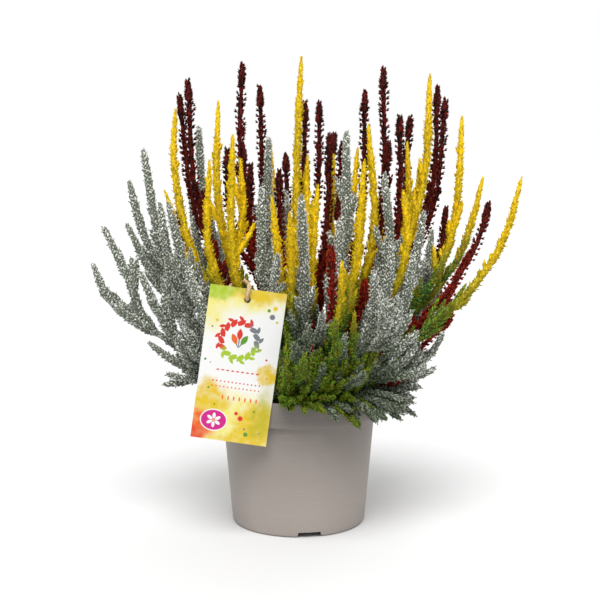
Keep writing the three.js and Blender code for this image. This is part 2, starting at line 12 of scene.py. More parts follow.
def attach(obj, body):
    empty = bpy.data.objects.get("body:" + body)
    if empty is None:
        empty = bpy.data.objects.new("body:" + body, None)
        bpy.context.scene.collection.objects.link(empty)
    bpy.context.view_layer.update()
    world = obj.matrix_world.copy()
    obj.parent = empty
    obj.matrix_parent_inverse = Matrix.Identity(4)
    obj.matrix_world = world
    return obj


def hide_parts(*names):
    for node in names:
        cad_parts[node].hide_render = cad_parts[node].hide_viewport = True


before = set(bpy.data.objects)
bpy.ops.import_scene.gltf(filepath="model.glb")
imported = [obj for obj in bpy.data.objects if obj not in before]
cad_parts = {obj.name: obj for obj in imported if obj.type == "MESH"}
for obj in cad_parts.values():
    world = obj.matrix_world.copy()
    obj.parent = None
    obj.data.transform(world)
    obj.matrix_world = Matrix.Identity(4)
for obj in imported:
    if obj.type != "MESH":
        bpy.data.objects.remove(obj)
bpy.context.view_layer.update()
scene = bpy.context.scene
MM = 0.001

# Pot
# A thin-walled nursery pot, injection moulded in warm grey polypropylene with a fine matt grain. The
# wall tapers to a notched foot ring, and a stepped band stiffens the rim.
POT_HEIGHT = 107 * MM
RIM_RADIUS = 65 * MM
RIM_LOWER_EDGE = 87.7 * MM
RIM_DRAFT = 0.5 * MM
RIM_WALL = 1.7 * MM
RIM_ROUNDING = 0.75 * MM
RIM_FILLET = 0.5 * MM
BODY_RADIUS_AT_RIM = 60.3 * MM
BODY_RADIUS_AT_FOOT = 52.8 * MM
BODY_WALL = 1.5 * MM
BODY_LEVELS = (8, 20, 40, 60, 80)
SHOULDER_TOP = 1.2 * MM
SHOULDER_DROP = 0.2 * MM
FOOT_ROUNDING = 2.4 * MM
FOOT_RING_WIDTH = 1.9 * MM
FOOT_CHAMFER = 0.3 * MM
FLOOR_UNDERSIDE = 5.2 * MM
FLOOR_THICKNESS = 1.7 * MM
FLOOR_ROUNDING = 0.6 * MM
FLOOR_FLAT_END = 2 * MM
NOTCHES = 3
NOTCH_WIDTH = 18 * MM
NOTCH_HEIGHT = 4.2 * MM
NOTCH_REACH = 12 * MM
NOTCH_DRAFT = 0.4 * MM
NOTCH_ROUNDING = 1.4 * MM
NOTCH_START = -1 * MM
FIRST_NOTCH = math.radians(-80.8)
DRAIN_HOLES = 6
DRAIN_HOLE_RADIUS = 3.5 * MM
DRAIN_HOLE_CIRCLE = 37 * MM
DRAIN_HOLE_SEGMENTS = 32
POT_SEGMENTS = 192
POT_CREASE = 35
POT_COLOUR = (0.29, 0.255, 0.23, 1)
POT_SCUFF = (0.36, 0.325, 0.295, 1)
# Painted shade on the rim and the upper wall, fading into painted light toward the foot
POT_RIM_PAINTED_SHADE = 0.60
POT_FOOT_PAINTED_LIGHT = 1.2
POT_PAINTED_SHADE_ABOVE = RIM_LOWER_EDGE + 4 * MM
POT_PAINTED_LIGHT_BELOW = 0.018
POT_MOTTLE_SIZE = 22.0
POT_GRAIN_SIZE = 1500.0
POT_STREAK_SCALE = (40.0, 40.0, 900.0)
POT_STREAKS = (0.58, 0.78)
POT_MOTTLE_SHARE = 0.25
POT_PAINTED_LIGHT_CURVE = 0.6
POT_ROUGHNESS = (0.46, 0.58)


def mesh_object(name, vertices, faces):
    mesh = bpy.data.meshes.new(name)
    mesh.from_pydata([tuple(v) for v in vertices], [], faces)
    piece = bpy.data.objects.new(name, mesh)
    scene.collection.objects.link(piece)
    return piece


def turned(name, profile, segments):
    """A closed body of revolution. The profile starts and ends on the axis, or closes on itself."""
    vertices, rings = [], []
    for radius, height in profile:
        if radius == 0:
            rings.append([len(vertices)] * segments)
            vertices.append((0, 0, height))
        else:
            rings.append([len(vertices) + i for i in range(segments)])
            for i in range(segments):
                angle = 2 * math.pi * i / segments
                vertices.append((radius * math.cos(angle), radius * math.sin(angle), height))
    faces = []
    for lower, upper in zip(rings, rings[1:]):
        for i in range(segments):
            j = (i + 1) % segments
            corners = []
            for corner in (lower[i], lower[j], upper[j], upper[i]):
                if corner not in corners:
                    corners.append(corner)
            faces.append(corners)
    return mesh_object(name, vertices, faces)


def face_outwards(mesh):
    """Merges doubled corners and turns every face outwards."""
    shell = bmesh.new()
    shell.from_mesh(mesh)
    bmesh.ops.remove_doubles(shell, verts=shell.verts, dist=1e-6)
    bmesh.ops.recalc_face_normals(shell, faces=shell.faces)
    shell.to_mesh(mesh)
    shell.free()


def smooth_below(mesh, degrees):
    """Smooth shading, with a crisp edge wherever two faces turn by more than this angle."""
    shell = bmesh.new()
    shell.from_mesh(mesh)
    for face in shell.faces:
        face.smooth = True
    for edge in shell.edges:
        if len(edge.link_faces) == 2:
            edge.smooth = edge.calc_face_angle(0) < math.radians(degrees)
    shell.to_mesh(mesh)
    shell.free()


def plain_mesh(piece):
    """Replaces the piece's mesh by the result of its modifiers."""
    graph = bpy.context.evaluated_depsgraph_get()
    result = bpy.data.meshes.new_from_object(
        piece.evaluated_get(graph), preserve_all_data_layers=True, depsgraph=graph
    )
    piece.modifiers.clear()
    piece.data = result


def cut_away(piece, cutters):
    """Takes the cutters' shapes out of the piece, and removes the cutters."""
    for cutter in cutters:
        cut = piece.modifiers.new("cut", "BOOLEAN")
        cut.operation = "DIFFERENCE"
        cut.solver = "EXACT"
        cut.object = cutter
    plain_mesh(piece)
    for cutter in cutters:
        bpy.data.objects.remove(cutter)


def new_node(tree, kind, settings=None, **inputs):
    """Adds a node. An input is named by its socket, with _ for each space, and takes a value or an output."""
    node = tree.nodes.new(kind)
    for name, value in (settings or {}).items():
        setattr(node, name, value)
    for name, value in inputs.items():
        label = name.replace("_", " ")
        socket = next(s for s in node.inputs if s.enabled and label == s.name or name == s.identifier)
        if isinstance(value, bpy.types.NodeSocket):
            tree.links.new(value, socket)
        else:
            socket.default_value = value
    return node


def result_of(tree, kind, settings=None, **inputs):
    """The first output of a new node."""
    return new_node(tree, kind, settings, **inputs).outputs[0]


def arithmetic(tree, operation, first, second=0.0, third=0.0, clamp=False):
    """A Math node's result. Each term is a value or an output, as in the helpers below."""
    settings = {"operation": operation, "use_clamp": clamp}
    return result_of(tree, "ShaderNodeMath", settings, Value=first, Value_001=second, Value_002=third)


def times(tree, first, second):
    return arithmetic(tree, "MULTIPLY", first, second)


def between(tree, value, low, high, to_low=0.0, to_high=1.0, kind="LINEAR"):
    """The value's place from low to high, clamped, on the scale from to_low to to_high."""
    settings = {"interpolation_type": kind}
    return result_of(
        tree, "ShaderNodeMapRange", settings,
        Value=value, From_Min=low, From_Max=high, To_Min=to_low, To_Max=to_high,
    )


def scaled(tree, vector, factor):
    return result_of(tree, "ShaderNodeVectorMath", {"operation": "SCALE"}, Vector=vector, Scale=factor)


def blended(tree, factor, first, second):
    """The first colour, or as much of the second one as the factor says."""
    return new_node(
        tree, "ShaderNodeMix", {"data_type": "RGBA"}, Factor_Float=factor, A_Color=first, B_Color=second
    ).outputs[2]


def finish_of(name, **values):
    """A new material with one Principled BSDF, whose named sockets take these plain values."""
    material = bpy.data.materials.new(name)
    material.use_nodes = True
    shader = material.node_tree.nodes["Principled BSDF"]
    for label, value in values.items():
        shader.inputs[label.replace("_", " ")].default_value = value
    return material, material.node_tree, shader


def grain_group():
    """Fine moulded or natural grain: a mottle mask and a height, both from the object's own coordinates."""
    group = bpy.data.node_groups.new("surface grain", "ShaderNodeTree")
    for label, value in (("Mottle Size", 30.0), ("Grain Size", 900.0)):
        socket = group.interface.new_socket(label, in_out="INPUT", socket_type="NodeSocketFloat")
        socket.default_value = value
    for label in ("Mottle", "Height"):
        group.interface.new_socket(label, in_out="OUTPUT", socket_type="NodeSocketFloat")
    entry = group.nodes.new("NodeGroupInput")
    place = group.nodes.new("ShaderNodeTexCoord").outputs["Object"]
    coarse, fine = entry.outputs["Mottle Size"], entry.outputs["Grain Size"]
    mottle = result_of(group, "ShaderNodeTexNoise", Vector=place, Scale=coarse, Detail=4.0)
    height = result_of(group, "ShaderNodeTexNoise", Vector=place, Scale=fine, Detail=2.0)
    leave = group.nodes.new("NodeGroupOutput")
    group.links.new(between(group, mottle, 0.3, 0.7), leave.inputs["Mottle"])
    group.links.new(height, leave.inputs["Height"])
    return group


SURFACE_GRAIN = grain_group()


def add_grain(tree, mottle_size, grain_size):
    """Places the grain in a material, and gives its mottle mask and its height."""
    node = tree.nodes.new("ShaderNodeGroup")
    node.node_tree = SURFACE_GRAIN
    node.inputs["Mottle Size"].default_value = mottle_size
    node.inputs["Grain Size"].default_value = grain_size
    return node.outputs["Mottle"], node.outputs["Height"]


def arc(centre_radius, centre_height, radius, start, end, steps):
    """Profile points round a corner, from one angle to another, in degrees."""
    points = []
    for i in range(steps + 1):
        angle = math.radians(start + (end - start) * i / steps)
        points.append((centre_radius + radius * math.cos(angle), centre_height + radius * math.sin(angle)))
    return points


def body_radius(height):
    """Outer radius of the pot's tapered wall."""
    return BODY_RADIUS_AT_FOOT + (BODY_RADIUS_AT_RIM - BODY_RADIUS_AT_FOOT) * height / RIM_LOWER_EDGE


def pot_profile():
    """The pot's cross-section, from the floor's underside out and up to the lip, and down the inside."""
    floor_top = FLOOR_UNDERSIDE + FLOOR_THICKNESS
    foot_outer = BODY_RADIUS_AT_FOOT - FOOT_ROUNDING
    foot_inner = foot_outer - FOOT_RING_WIDTH
    rim_low = RIM_RADIUS - RIM_DRAFT
    rim_inner = RIM_RADIUS - RIM_WALL
    shoulder = RIM_LOWER_EDGE + BODY_WALL
    lip = RIM_WALL / 2
    outside = [(0, FLOOR_UNDERSIDE), (foot_inner - FLOOR_FLAT_END, FLOOR_UNDERSIDE)]
    outside += arc(foot_inner - FLOOR_ROUNDING, FLOOR_UNDERSIDE - FLOOR_ROUNDING, FLOOR_ROUNDING, 90, 0, 3)
    outside += [(foot_inner, FOOT_CHAMFER), (foot_inner + FOOT_CHAMFER, 0)]
    outside += arc(foot_outer, FOOT_ROUNDING, FOOT_ROUNDING, -90, 0, 6)
    outside += [(body_radius(level * MM), level * MM) for level in BODY_LEVELS]
    outside += arc(BODY_RADIUS_AT_RIM + RIM_FILLET, RIM_LOWER_EDGE - RIM_FILLET, RIM_FILLET, 180, 90, 3)
    outside += arc(rim_low - RIM_ROUNDING, RIM_LOWER_EDGE + RIM_ROUNDING, RIM_ROUNDING, -90, 0, 4)
    outside += [(rim_low + RIM_DRAFT / 2, (RIM_LOWER_EDGE + POT_HEIGHT) / 2)]
    outside += arc(RIM_RADIUS - lip, POT_HEIGHT - lip, lip, 0, 180, 8)
    inside = [(rim_inner, shoulder + SHOULDER_TOP)]
    inside += [(body_radius(shoulder) - BODY_WALL, shoulder - SHOULDER_DROP)]
    inside += [(body_radius(floor_top) - BODY_WALL, floor_top), (0, floor_top)]
    return outside + inside


pot = turned("nursery_pot", pot_profile(), POT_SEGMENTS)
face_outwards(pot.data)
cutters = []
for i in range(NOTCHES):
    turn = Matrix.Rotation(FIRST_NOTCH + i * math.radians(360 / NOTCHES), 4, "Z")
    half = NOTCH_WIDTH / 2
    middle, middle_height = half - NOTCH_ROUNDING, NOTCH_HEIGHT - NOTCH_ROUNDING
    # A notch has drafted sides and rounded upper corners
    outline = [(-half - NOTCH_DRAFT, NOTCH_START), (half + NOTCH_DRAFT, NOTCH_START)]
    outline += arc(middle, middle_height, NOTCH_ROUNDING, 0, 90, 4)
    outline += [(-x, z) for x, z in arc(middle, middle_height, NOTCH_ROUNDING, 90, 0, 4)]
    near = BODY_RADIUS_AT_FOOT - NOTCH_REACH / 2
    count = len(outline)
    corners = [turn @ Vector((near, x, z)) for x, z in outline]
    corners += [turn @ Vector((near + NOTCH_REACH, x, z)) for x, z in outline]
    sides = [(k, (k + 1) % count, count + (k + 1) % count, count + k) for k in range(count)]
    cutter = mesh_object("notch", corners, sides + [tuple(range(count)), tuple(range(count, 2 * count))])
    face_outwards(cutter.data)
    cutters.append(cutter)
for i in range(DRAIN_HOLES):
    angle = FIRST_NOTCH + (i + 0.5) * math.radians(360 / DRAIN_HOLES)
    through = 4 * FLOOR_THICKNESS
    hole = [(0, 0), (DRAIN_HOLE_RADIUS, 0), (DRAIN_HOLE_RADIUS, through), (0, through)]
    cutter = turned("drain_hole", hole, DRAIN_HOLE_SEGMENTS)
    middle = (DRAIN_HOLE_CIRCLE * math.cos(angle), DRAIN_HOLE_CIRCLE * math.sin(angle), FLOOR_UNDERSIDE / 2)
    cutter.data.transform(Matrix.Translation(middle))
    face_outwards(cutter.data)
    cutters.append(cutter)
cut_away(pot, cutters)
smooth_below(pot.data, POT_CREASE)

material, tree, shader = finish_of("moulded pot plastic", Roughness=0.5, Specular_IOR_Level=0.4)
mottle, height = add_grain(tree, POT_MOTTLE_SIZE, POT_GRAIN_SIZE)
place = tree.nodes.new("ShaderNodeTexCoord").outputs["Object"]
stretched = result_of(tree, "ShaderNodeMapping", Vector=place, Scale=POT_STREAK_SCALE)
streaks = result_of(tree, "ShaderNodeTexNoise", Vector=stretched, Scale=1.0, Detail=3.0)
scuffed = times(tree, between(tree, streaks, *POT_STREAKS), mottle)
colour = blended(tree, times(tree, mottle, POT_MOTTLE_SHARE), POT_COLOUR, POT_SCUFF)
colour = blended(tree, scuffed, colour, POT_SCUFF)
# Painted shade darkens the rim and the wall just under it, where the foliage above would shade them, and
# painted light makes the wall paler toward the foot
height_up = new_node(tree, "ShaderNodeSeparateXYZ", Vector=place).outputs["Z"]
painted_light_share = between(tree, height_up, POT_PAINTED_SHADE_ABOVE, POT_PAINTED_LIGHT_BELOW)
painted_light_share = arithmetic(tree, "POWER", painted_light_share, POT_PAINTED_LIGHT_CURVE)
shade = between(tree, painted_light_share, 0.0, 1.0, POT_RIM_PAINTED_SHADE, POT_FOOT_PAINTED_LIGHT)
tree.links.new(scaled(tree, colour, shade), shader.inputs["Base Color"])
tree.links.new(between(tree, mottle, 0.0, 1.0, *POT_ROUGHNESS), shader.inputs["Roughness"])
bump = result_of(tree, "ShaderNodeBump", Strength=0.18, Distance=0.0002, Height=height)
tree.links.new(bump, shader.inputs["Normal"])
pot.data.materials.append(material)
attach(pot, "root")
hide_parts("pot")

# Potting soil
# The peaty root ball fills the pot to a little below the rim. It is one lump held together by the
# roots, and its top is crumbly, uneven and slightly domed.
SOIL_EDGE_HEIGHT = 95 * MM
SOIL_DOME = 2.5 * MM
SOIL_CLEARANCE = 0.3 * MM
SOIL_RINGS = 34
SOIL_SEGMENTS = 120
SOIL_SHOULDER = 1.6 * MM
SOIL_BUMP = 1.6 * MM
SOIL_LUMPS = 320
SOIL_FADE = 4 * MM
SOIL_LEVEL_EDGE = 0.5 * MM
SOIL_CREASE = 60
SOIL_DARK = (0.018, 0.012, 0.008, 1)
SOIL_LIGHT = (0.085, 0.055, 0.035, 1)


def soil_height(radius):
    """Height of the soil's top, before its lumps."""
    edge = RIM_RADIUS - RIM_DRAFT - RIM_WALL
    return SOIL_EDGE_HEIGHT + SOIL_DOME * (1 - (radius / edge) ** 2)


def smooth_step(value, low, high):
    share = min(max((value - low) / (high - low), 0), 1)
    return share * share * (3 - 2 * share)


bottom = FLOOR_UNDERSIDE + FLOOR_THICKNESS + SOIL_CLEARANCE
shoulder = RIM_LOWER_EDGE + BODY_WALL
edge = RIM_RADIUS - RIM_DRAFT - RIM_WALL - SOIL_CLEARANCE
profile = [(0, bottom), (body_radius(bottom) - BODY_WALL - SOIL_CLEARANCE, bottom)]
profile += [(body_radius(shoulder) - BODY_WALL - SOIL_CLEARANCE, shoulder + SOIL_CLEARANCE)]
profile += [(edge, shoulder + SOIL_SHOULDER), (edge, SOIL_EDGE_HEIGHT)]
for i in range(1, SOIL_RINGS):
    radius = edge * (1 - i / SOIL_RINGS)
    profile.append((radius, soil_height(radius)))
profile.append((0, soil_height(0)))
soil = turned("peat_root_ball", profile, SOIL_SEGMENTS)
for vertex in soil.data.vertices:
    reach = math.hypot(vertex.co.x, vertex.co.y)
    if vertex.co.z > SOIL_EDGE_HEIGHT + 1e-5 and reach < edge - SOIL_LEVEL_EDGE:
        lump = noise.fractal(vertex.co * SOIL_LUMPS, 1.0, 2.0, 4)
        vertex.co.z += SOIL_BUMP * lump * smooth_step(edge - reach, 0, SOIL_FADE)
face_outwards(soil.data)
smooth_below(soil.data, SOIL_CREASE)

material, tree, shader = finish_of("moist peat", Roughness=0.95, Specular_IOR_Level=0.2)
mottle, height = add_grain(tree, mottle_size=260.0, grain_size=1400.0)
tree.links.new(blended(tree, mottle, SOIL_DARK, SOIL_LIGHT), shader.inputs["Base Color"])
bump = result_of(tree, "ShaderNodeBump", Strength=0.7, Distance=0.0008, Height=height)
tree.links.new(bump, shader.inputs["Normal"])
soil.data.materials.append(material)
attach(soil, "root")
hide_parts("potting_soil")

# Silver shoots
# Woody stems that branch low down and stand in upright spikes, packed all round with short side tufts of
# felted grey-green leaves, whitish at their tips. Leafy twigs fill the lower part and hang over the rim.
LABEL_CENTRE = sum((Vector(corner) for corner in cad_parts["label"].bound_box), Vector()) / 8
LABEL_WIDTH = 57 * MM
LABEL_HEIGHT = 116 * MM
LABEL_TILT = math.radians(8)
LABEL_CLEARANCE = 2.0 * MM
BESIDE_LABEL = 6 * MM
FAR_AWAY = 1.0
LEAF_MARGIN = 2.0 * MM
# How a shoot's solid is cut into slices, and the slices are joined into lines
SLICE = 3 * MM
FOOT_SLICE = 0.5 * MM
LINE_STEP = 4 * MM
LOST_SLICES = 5
NEAR_SLICE = 5 * MM
STEADY_SLICES = 20
FORK_SLICES = 6
SHORTEST_SPIKE = 4
DRIFT_SHARE = 0.5
SMOOTHING_PASSES = 6
# How near to the soil and to the pot's lip a line may come
SOIL_TOP = 97 * MM
ABOVE_SOIL = 2 * MM
ABOVE_LIP = 1.2 * MM
LIP_INSIDE = 6 * MM
LIP_OUTSIDE = 1.5 * MM
# Side twigs: the lowest place, and how much their length, lift, heading and distance apart differ
FIRST_TWIG = 12 * MM
TWIG_POINTS = 6
TWIG_LENGTHS = (0.65, 1.2)
TWIG_SHRINK = 0.4
TWIG_LIFTS = (0.15, 0.45)
TWIG_SPACINGS = (0.7, 1.3)
TWIG_TILT = 0.2
# Twigs over the rim: where a foot has them, and the bearing of those in front
RIM_TWIG_FOOT = 14 * MM
FRONT_FOOT = -9 * MM
STRAIGHT_AHEAD = -1.4
# The places of their crest, bend and tip, in millimetres out from the rim and above it
CREST_BACK = (0, 4)
CREST_ABOVE = (7, 11)
BEND_OUT = (7, 18)
BEND_HIGHEST = 8
HANGING_OUT = (6, 16)
HANGING_ABOVE = (-18, 2)
RISING_OUT = (2, 5)
RISING_FURTHER_ASIDE = 11
RISING_HIGHEST = 46
START_RISE = 4 * MM
MIDDLE_RISE = 5 * MM
# The part of the front, right of the label, where fewer twigs stand
FRONT_GAP = (-16 * MM, 54 * MM)
FRONT_GAP_TOP = 150 * MM
# Where leaves begin along a line, and how far they reach there
STEM_LEAVES = (7 * MM, 18 * MM)
TWIG_LEAVES = (0, 5 * MM)
FIRST_GIRTH = 0.25
LEAST_GIRTH = 0.3 * MM
LEAFY_GIRTH = 1.0 * MM
# Age of the leaves near the soil, and what a long way from the tip adds to it there and out in the light
OLD_AGE = 0.93
FAR_IN_SHADE = 0.07
FAR_IN_LIGHT = 0.2
# Stems and leaves
STEM_FOOT_RADIUS = 1.1 * MM
STEM_TIP_RADIUS = 0.35 * MM
TWIG_RADIUS = 0.4 * MM
STEM_SIDES = 5
STEM_SCALES = 12
TWIG_SCALES = 8
TWIG_THINNING = 1.5
LARGEST_TUFT = 1.1
SPIN_SPREAD = 0.35
SCALE_TIPS = (0.6, 1.0)
SCALE_SIZES = (0.5, 1.3)
SCALE_STRAY = 0.3 * MM
FLECK_STRENGTH = 0.75
GOLDEN_ANGLE = 2.39996
GOLDEN_SHARE = 0.381966
# The leaves' map: its rows of shades, and the room that a leaf takes in a row and across it
LEAF_MAP = "OFBake"
SHADES = 8
ROW_ENDS = (0.06, 0.94)
AGE_ENDS = (0.02, 0.98)
LEAF_MAP_WIDTH = 0.012


def first_of_group(parent, i):
    """The member that stands for the group that cut i belongs to."""
    while parent[i] != i:
        i = parent[i]
    return i


def shoot_slices(node):
    """Cuts the shoot's solid across its length: for each level, the centre of each spike that it meets."""
    mesh = node.data
    corners = np.empty(len(mesh.vertices) * 3)
    mesh.vertices.foreach_get("co", corners)
    corners = corners.reshape(-1, 3)
    order = np.empty(len(mesh.polygons) * 3, int)
    mesh.polygons.foreach_get("vertices", order)
    triangles = corners[order].reshape(-1, 3, 3)
    foot = corners[corners[:, 2] < corners[:, 2].min() + FOOT_SLICE].mean(0)
    far = corners[np.argmax(np.linalg.norm(corners - foot, axis=1))]
    rise = (far - foot) / np.linalg.norm(far - foot)
    heights = (triangles - foot) @ rise
    levels = []
    for level in np.arange(SLICE / 2, heights.max(), SLICE):
        above = heights > level
        crossed = above.any(1) & ~above.all(1)
        cuts, parent, owners = [], [], {}
        for triangle, height, side in zip(triangles[crossed], heights[crossed], above[crossed]):
            ends = []
            for a, b in ((0, 1), (1, 2), (2, 0)):
                if side[a] != side[b]:
                    share = (level - height[a]) / (height[b] - height[a])
                    ends.append(triangle[a] + (triangle[b] - triangle[a]) * share)
            parent.append(len(cuts))
            for end in ends:
                key = tuple(np.round(end, 6))
                if key in owners:
                    parent[first_of_group(parent, len(cuts))] = first_of_group(parent, owners[key])
                owners[key] = len(cuts)
            cuts.append(ends)
        groups = {}
        for i, ends in enumerate(cuts):
            groups.setdefault(first_of_group(parent, i), []).append(ends)
        centres = []
        for members in groups.values():
            segments = np.array(members)
            lengths = np.linalg.norm(segments[:, 0] - segments[:, 1], axis=1)
            centres.append((segments.mean(1) * lengths[:, None]).sum(0) / lengths.sum())
        levels.append(centres)
    return foot, levels


def spike_lines(node):
    """The shoot's spikes as lines of points from where each begins to its tip, the main stem's first."""
    foot, levels = shoot_slices(node)
    tracks = [{"points": [foot], "drift": levels[0][0] - foot, "lost": 0}]
    for centres in levels:
        free = list(range(len(centres)))
        active = [track for track in tracks if track["lost"] <= LOST_SLICES]
        ahead = [track["points"][-1] + track["drift"] for track in active]
        pairs = sorted(
            (float(np.linalg.norm(centres[j] - ahead[i])), i, j) for i in range(len(active)) for j in free
        )
        met = set()
        for distance, i, j in pairs:
            reach = NEAR_SLICE if len(active[i]["points"]) > STEADY_SLICES else 3 * NEAR_SLICE
            if i not in met and j in free and distance < reach:
                step = centres[j] - active[i]["points"][-1]
                active[i]["drift"] = active[i]["drift"] * (1 - DRIFT_SHARE) + step * DRIFT_SHARE
                active[i]["points"].append(centres[j])
                active[i]["lost"] = 0
                met.add(i)
                free.remove(j)
        for i, track in enumerate(active):
            if i not in met:
                track["points"].append(ahead[i])
                track["lost"] += 1
        for j in free:
            near = min(active, key=lambda track: np.linalg.norm(track["points"][-1] - centres[j]))
            start = near["points"][max(len(near["points"]) - FORK_SLICES, 0)]
            tracks.append({"points": [start, centres[j]], "drift": near["drift"].copy(), "lost": 0})
    lines = []
    for track in tracks:
        points = np.array(track["points"][: len(track["points"]) - track["lost"]])
        if len(points) > SHORTEST_SPIKE:
            lines.append(evened(points))
    return lines


def evened(points):
    """The line smoothed and set out again in equal steps, with both ends kept."""
    points = np.array(points, float)
    for _ in range(SMOOTHING_PASSES):
        points[1:-1] = points[1:-1] * 0.5 + (points[:-2] + points[2:]) * 0.25
    lengths = np.concatenate([[0], np.cumsum(np.linalg.norm(np.diff(points, axis=0), axis=1))])
    count = max(3, round(lengths[-1] / LINE_STEP) + 1)
    places = np.linspace(0, lengths[-1], count)
    return np.stack([np.interp(places, lengths, points[:, k]) for k in range(3)], 1)


def shortened(line, cut):
    """The line without this much of its end, where the last leaves reach past it."""
    last = line[-1] - line[-2]
    share = min(cut / np.linalg.norm(last), 0.9)
    line[-1] = line[-1] - last * share
    return line


def label_gap(point):
    """How far a point lies behind the label's back, or a large number beside the label."""
    across, up = point[0] - LABEL_CENTRE.x, point[2] - LABEL_CENTRE.z
    x = across * math.cos(LABEL_TILT) - up * math.sin(LABEL_TILT)
    z = across * math.sin(LABEL_TILT) + up * math.cos(LABEL_TILT)
    if abs(x) > LABEL_WIDTH / 2 + BESIDE_LABEL or abs(z) > LABEL_HEIGHT / 2 + BESIDE_LABEL:
        return FAR_AWAY
    return point[1] - LABEL_CENTRE.y


def kept_clear(point):
    """The point moved out of the label, the pot's wall and the soil, with room for its leaves."""
    x, y, z = point
    if label_gap(point) < LEAF_MARGIN + LABEL_CLEARANCE:
        y = LABEL_CENTRE.y + LEAF_MARGIN + LABEL_CLEARANCE
    reach = math.hypot(x, y)
    if reach < RIM_RADIUS + LIP_OUTSIDE:
        lowest = soil_height(reach) + ABOVE_SOIL
        if reach > RIM_RADIUS - LIP_INSIDE:
            lowest = POT_HEIGHT + ABOVE_LIP
        z = max(z, lowest)
    return np.array([x, y, z])


def twig_line(start, along, outward, angle, length, lift):
    """A short side twig that leaves its stem at an angle and curves up, or down where lift is negative."""
    heading = along * math.cos(angle) + outward * math.sin(angle)
    heading /= np.linalg.norm(heading)
    points = []
    for i in range(TWIG_POINTS):
        share = i / (TWIG_POINTS - 1)
        point = start + heading * length * share
        point[2] += lift * share * share
        points.append(kept_clear(point))
    return evened(points)


def side_twigs(line, habit, dice, kind):
    """Leafy side shoots up a part of a spike: long twigs low down, or short spurs further up."""
    total = LINE_STEP * (len(line) - 1)
    twigs = []
    place, last = total * habit[kind + "_from"], total * habit[kind + "_to"]
    place = max(place, FIRST_TWIG)
    while place < last:
        index = min(int(place / LINE_STEP), len(line) - 2)
        along = line[index + 1] - line[index]
        along /= np.linalg.norm(along)
        spin = dice.uniform(0, 2 * math.pi)
        side = np.cross(along, [math.cos(spin), math.sin(spin), TWIG_TILT])
        side /= np.linalg.norm(side)
        length = habit[kind + "_length"] * dice.uniform(*TWIG_LENGTHS) * (1 - TWIG_SHRINK * place / last)
        lift = length * dice.uniform(*TWIG_LIFTS)
        angle = math.radians(dice.uniform(*habit[kind + "_angle"]))
        twigs.append(twig_line(line[index], along, side, angle, length, lift))
        place += habit[kind + "_step"] * dice.uniform(*TWIG_SPACINGS)
    return twigs


def rim_twigs(foot, habit, dice):
    """Low twigs from a foot near the wall that arch out over the rim and turn up, or hang on its right."""
    twigs = []
    if math.hypot(foot[0], foot[1]) < RIM_TWIG_FOOT:
        return twigs
    front_count, other_count = habit["rim_twigs"]
    for _ in range(front_count if foot[1] < FRONT_FOOT else other_count):
        bearing = math.atan2(foot[1], foot[0]) + dice.uniform(-1, 1) * habit["rim_spread"]
        if foot[1] < FRONT_FOOT:
            bearing += habit["rim_pull"] * (STRAIGHT_AHEAD - bearing)
        outward = np.array([math.cos(bearing), math.sin(bearing), 0])
        crest = outward * (RIM_RADIUS - dice.uniform(*CREST_BACK) * MM)
        crest[2] = POT_HEIGHT + dice.uniform(*CREST_ABOVE) * MM
        bend = outward * (RIM_RADIUS + dice.uniform(*BEND_OUT) * MM)
        bend[2] = POT_HEIGHT + dice.uniform(-habit["rim_drop"], BEND_HIGHEST) * MM
        if dice.random() < habit["hanging"] * max(outward[0], 0):
            tip = bend + outward * dice.uniform(*HANGING_OUT) * MM
            tip[2] = POT_HEIGHT + dice.uniform(*HANGING_ABOVE) * MM
        else:
            furthest = RISING_OUT[1] + RISING_FURTHER_ASIDE * abs(outward[0])
            tip = bend + outward * dice.uniform(RISING_OUT[0], furthest) * MM
            tip[2] = POT_HEIGHT + dice.uniform(habit["rim_rise"], RISING_HIGHEST) * MM
        start = foot + np.array([0, 0, START_RISE])
        middle = (foot + crest) / 2 + np.array([0, 0, MIDDLE_RISE])
        twigs.append(evened([kept_clear(point) for point in (start, middle, crest, bend, tip)]))
    return twigs


def in_front_gap(twig):
    """True where a twig stands in the low front of the plant, right of the label."""
    across, depth, up = twig[len(twig) // 2]
    return FRONT_GAP[0] < across < FRONT_GAP[1] and depth < 0 and up < FRONT_GAP_TOP


def girth_at(habit, along, to_tip, is_twig):
    """Reach of the leaves from the stem at a place along a spike or twig."""
    taper = habit["twig_taper"] if is_twig else habit["taper"]
    full = habit["twig_girth"] if is_twig else habit["full_girth"]
    start = smooth_step(along, *(TWIG_LEAVES if is_twig else STEM_LEAVES))
    tip = min(to_tip / taper, 1)
    tip_girth = habit["tip_share"] + (1 - habit["tip_share"]) * tip ** 0.5
    return full * min(FIRST_GIRTH + (1 - FIRST_GIRTH) * start, tip_girth)


def age_at(habit, point, to_tip, offset):
    """From 0 for young growth out in the light to 1 for old growth in the shade near the soil."""
    away = math.hypot(point[0] * habit["side_light"], max(point[2] - SOIL_TOP, 0))
    away -= abs(point[0]) * habit["side_shade"]
    low = 1 - smooth_step(away + offset, habit["old_within"], habit["young_beyond"])
    far = smooth_step(to_tip, habit["young_length"], habit["old_length"])
    return min(max(low * (OLD_AGE + FAR_IN_SHADE * far) + FAR_IN_LIGHT * far * (1 - low), 0), 1)


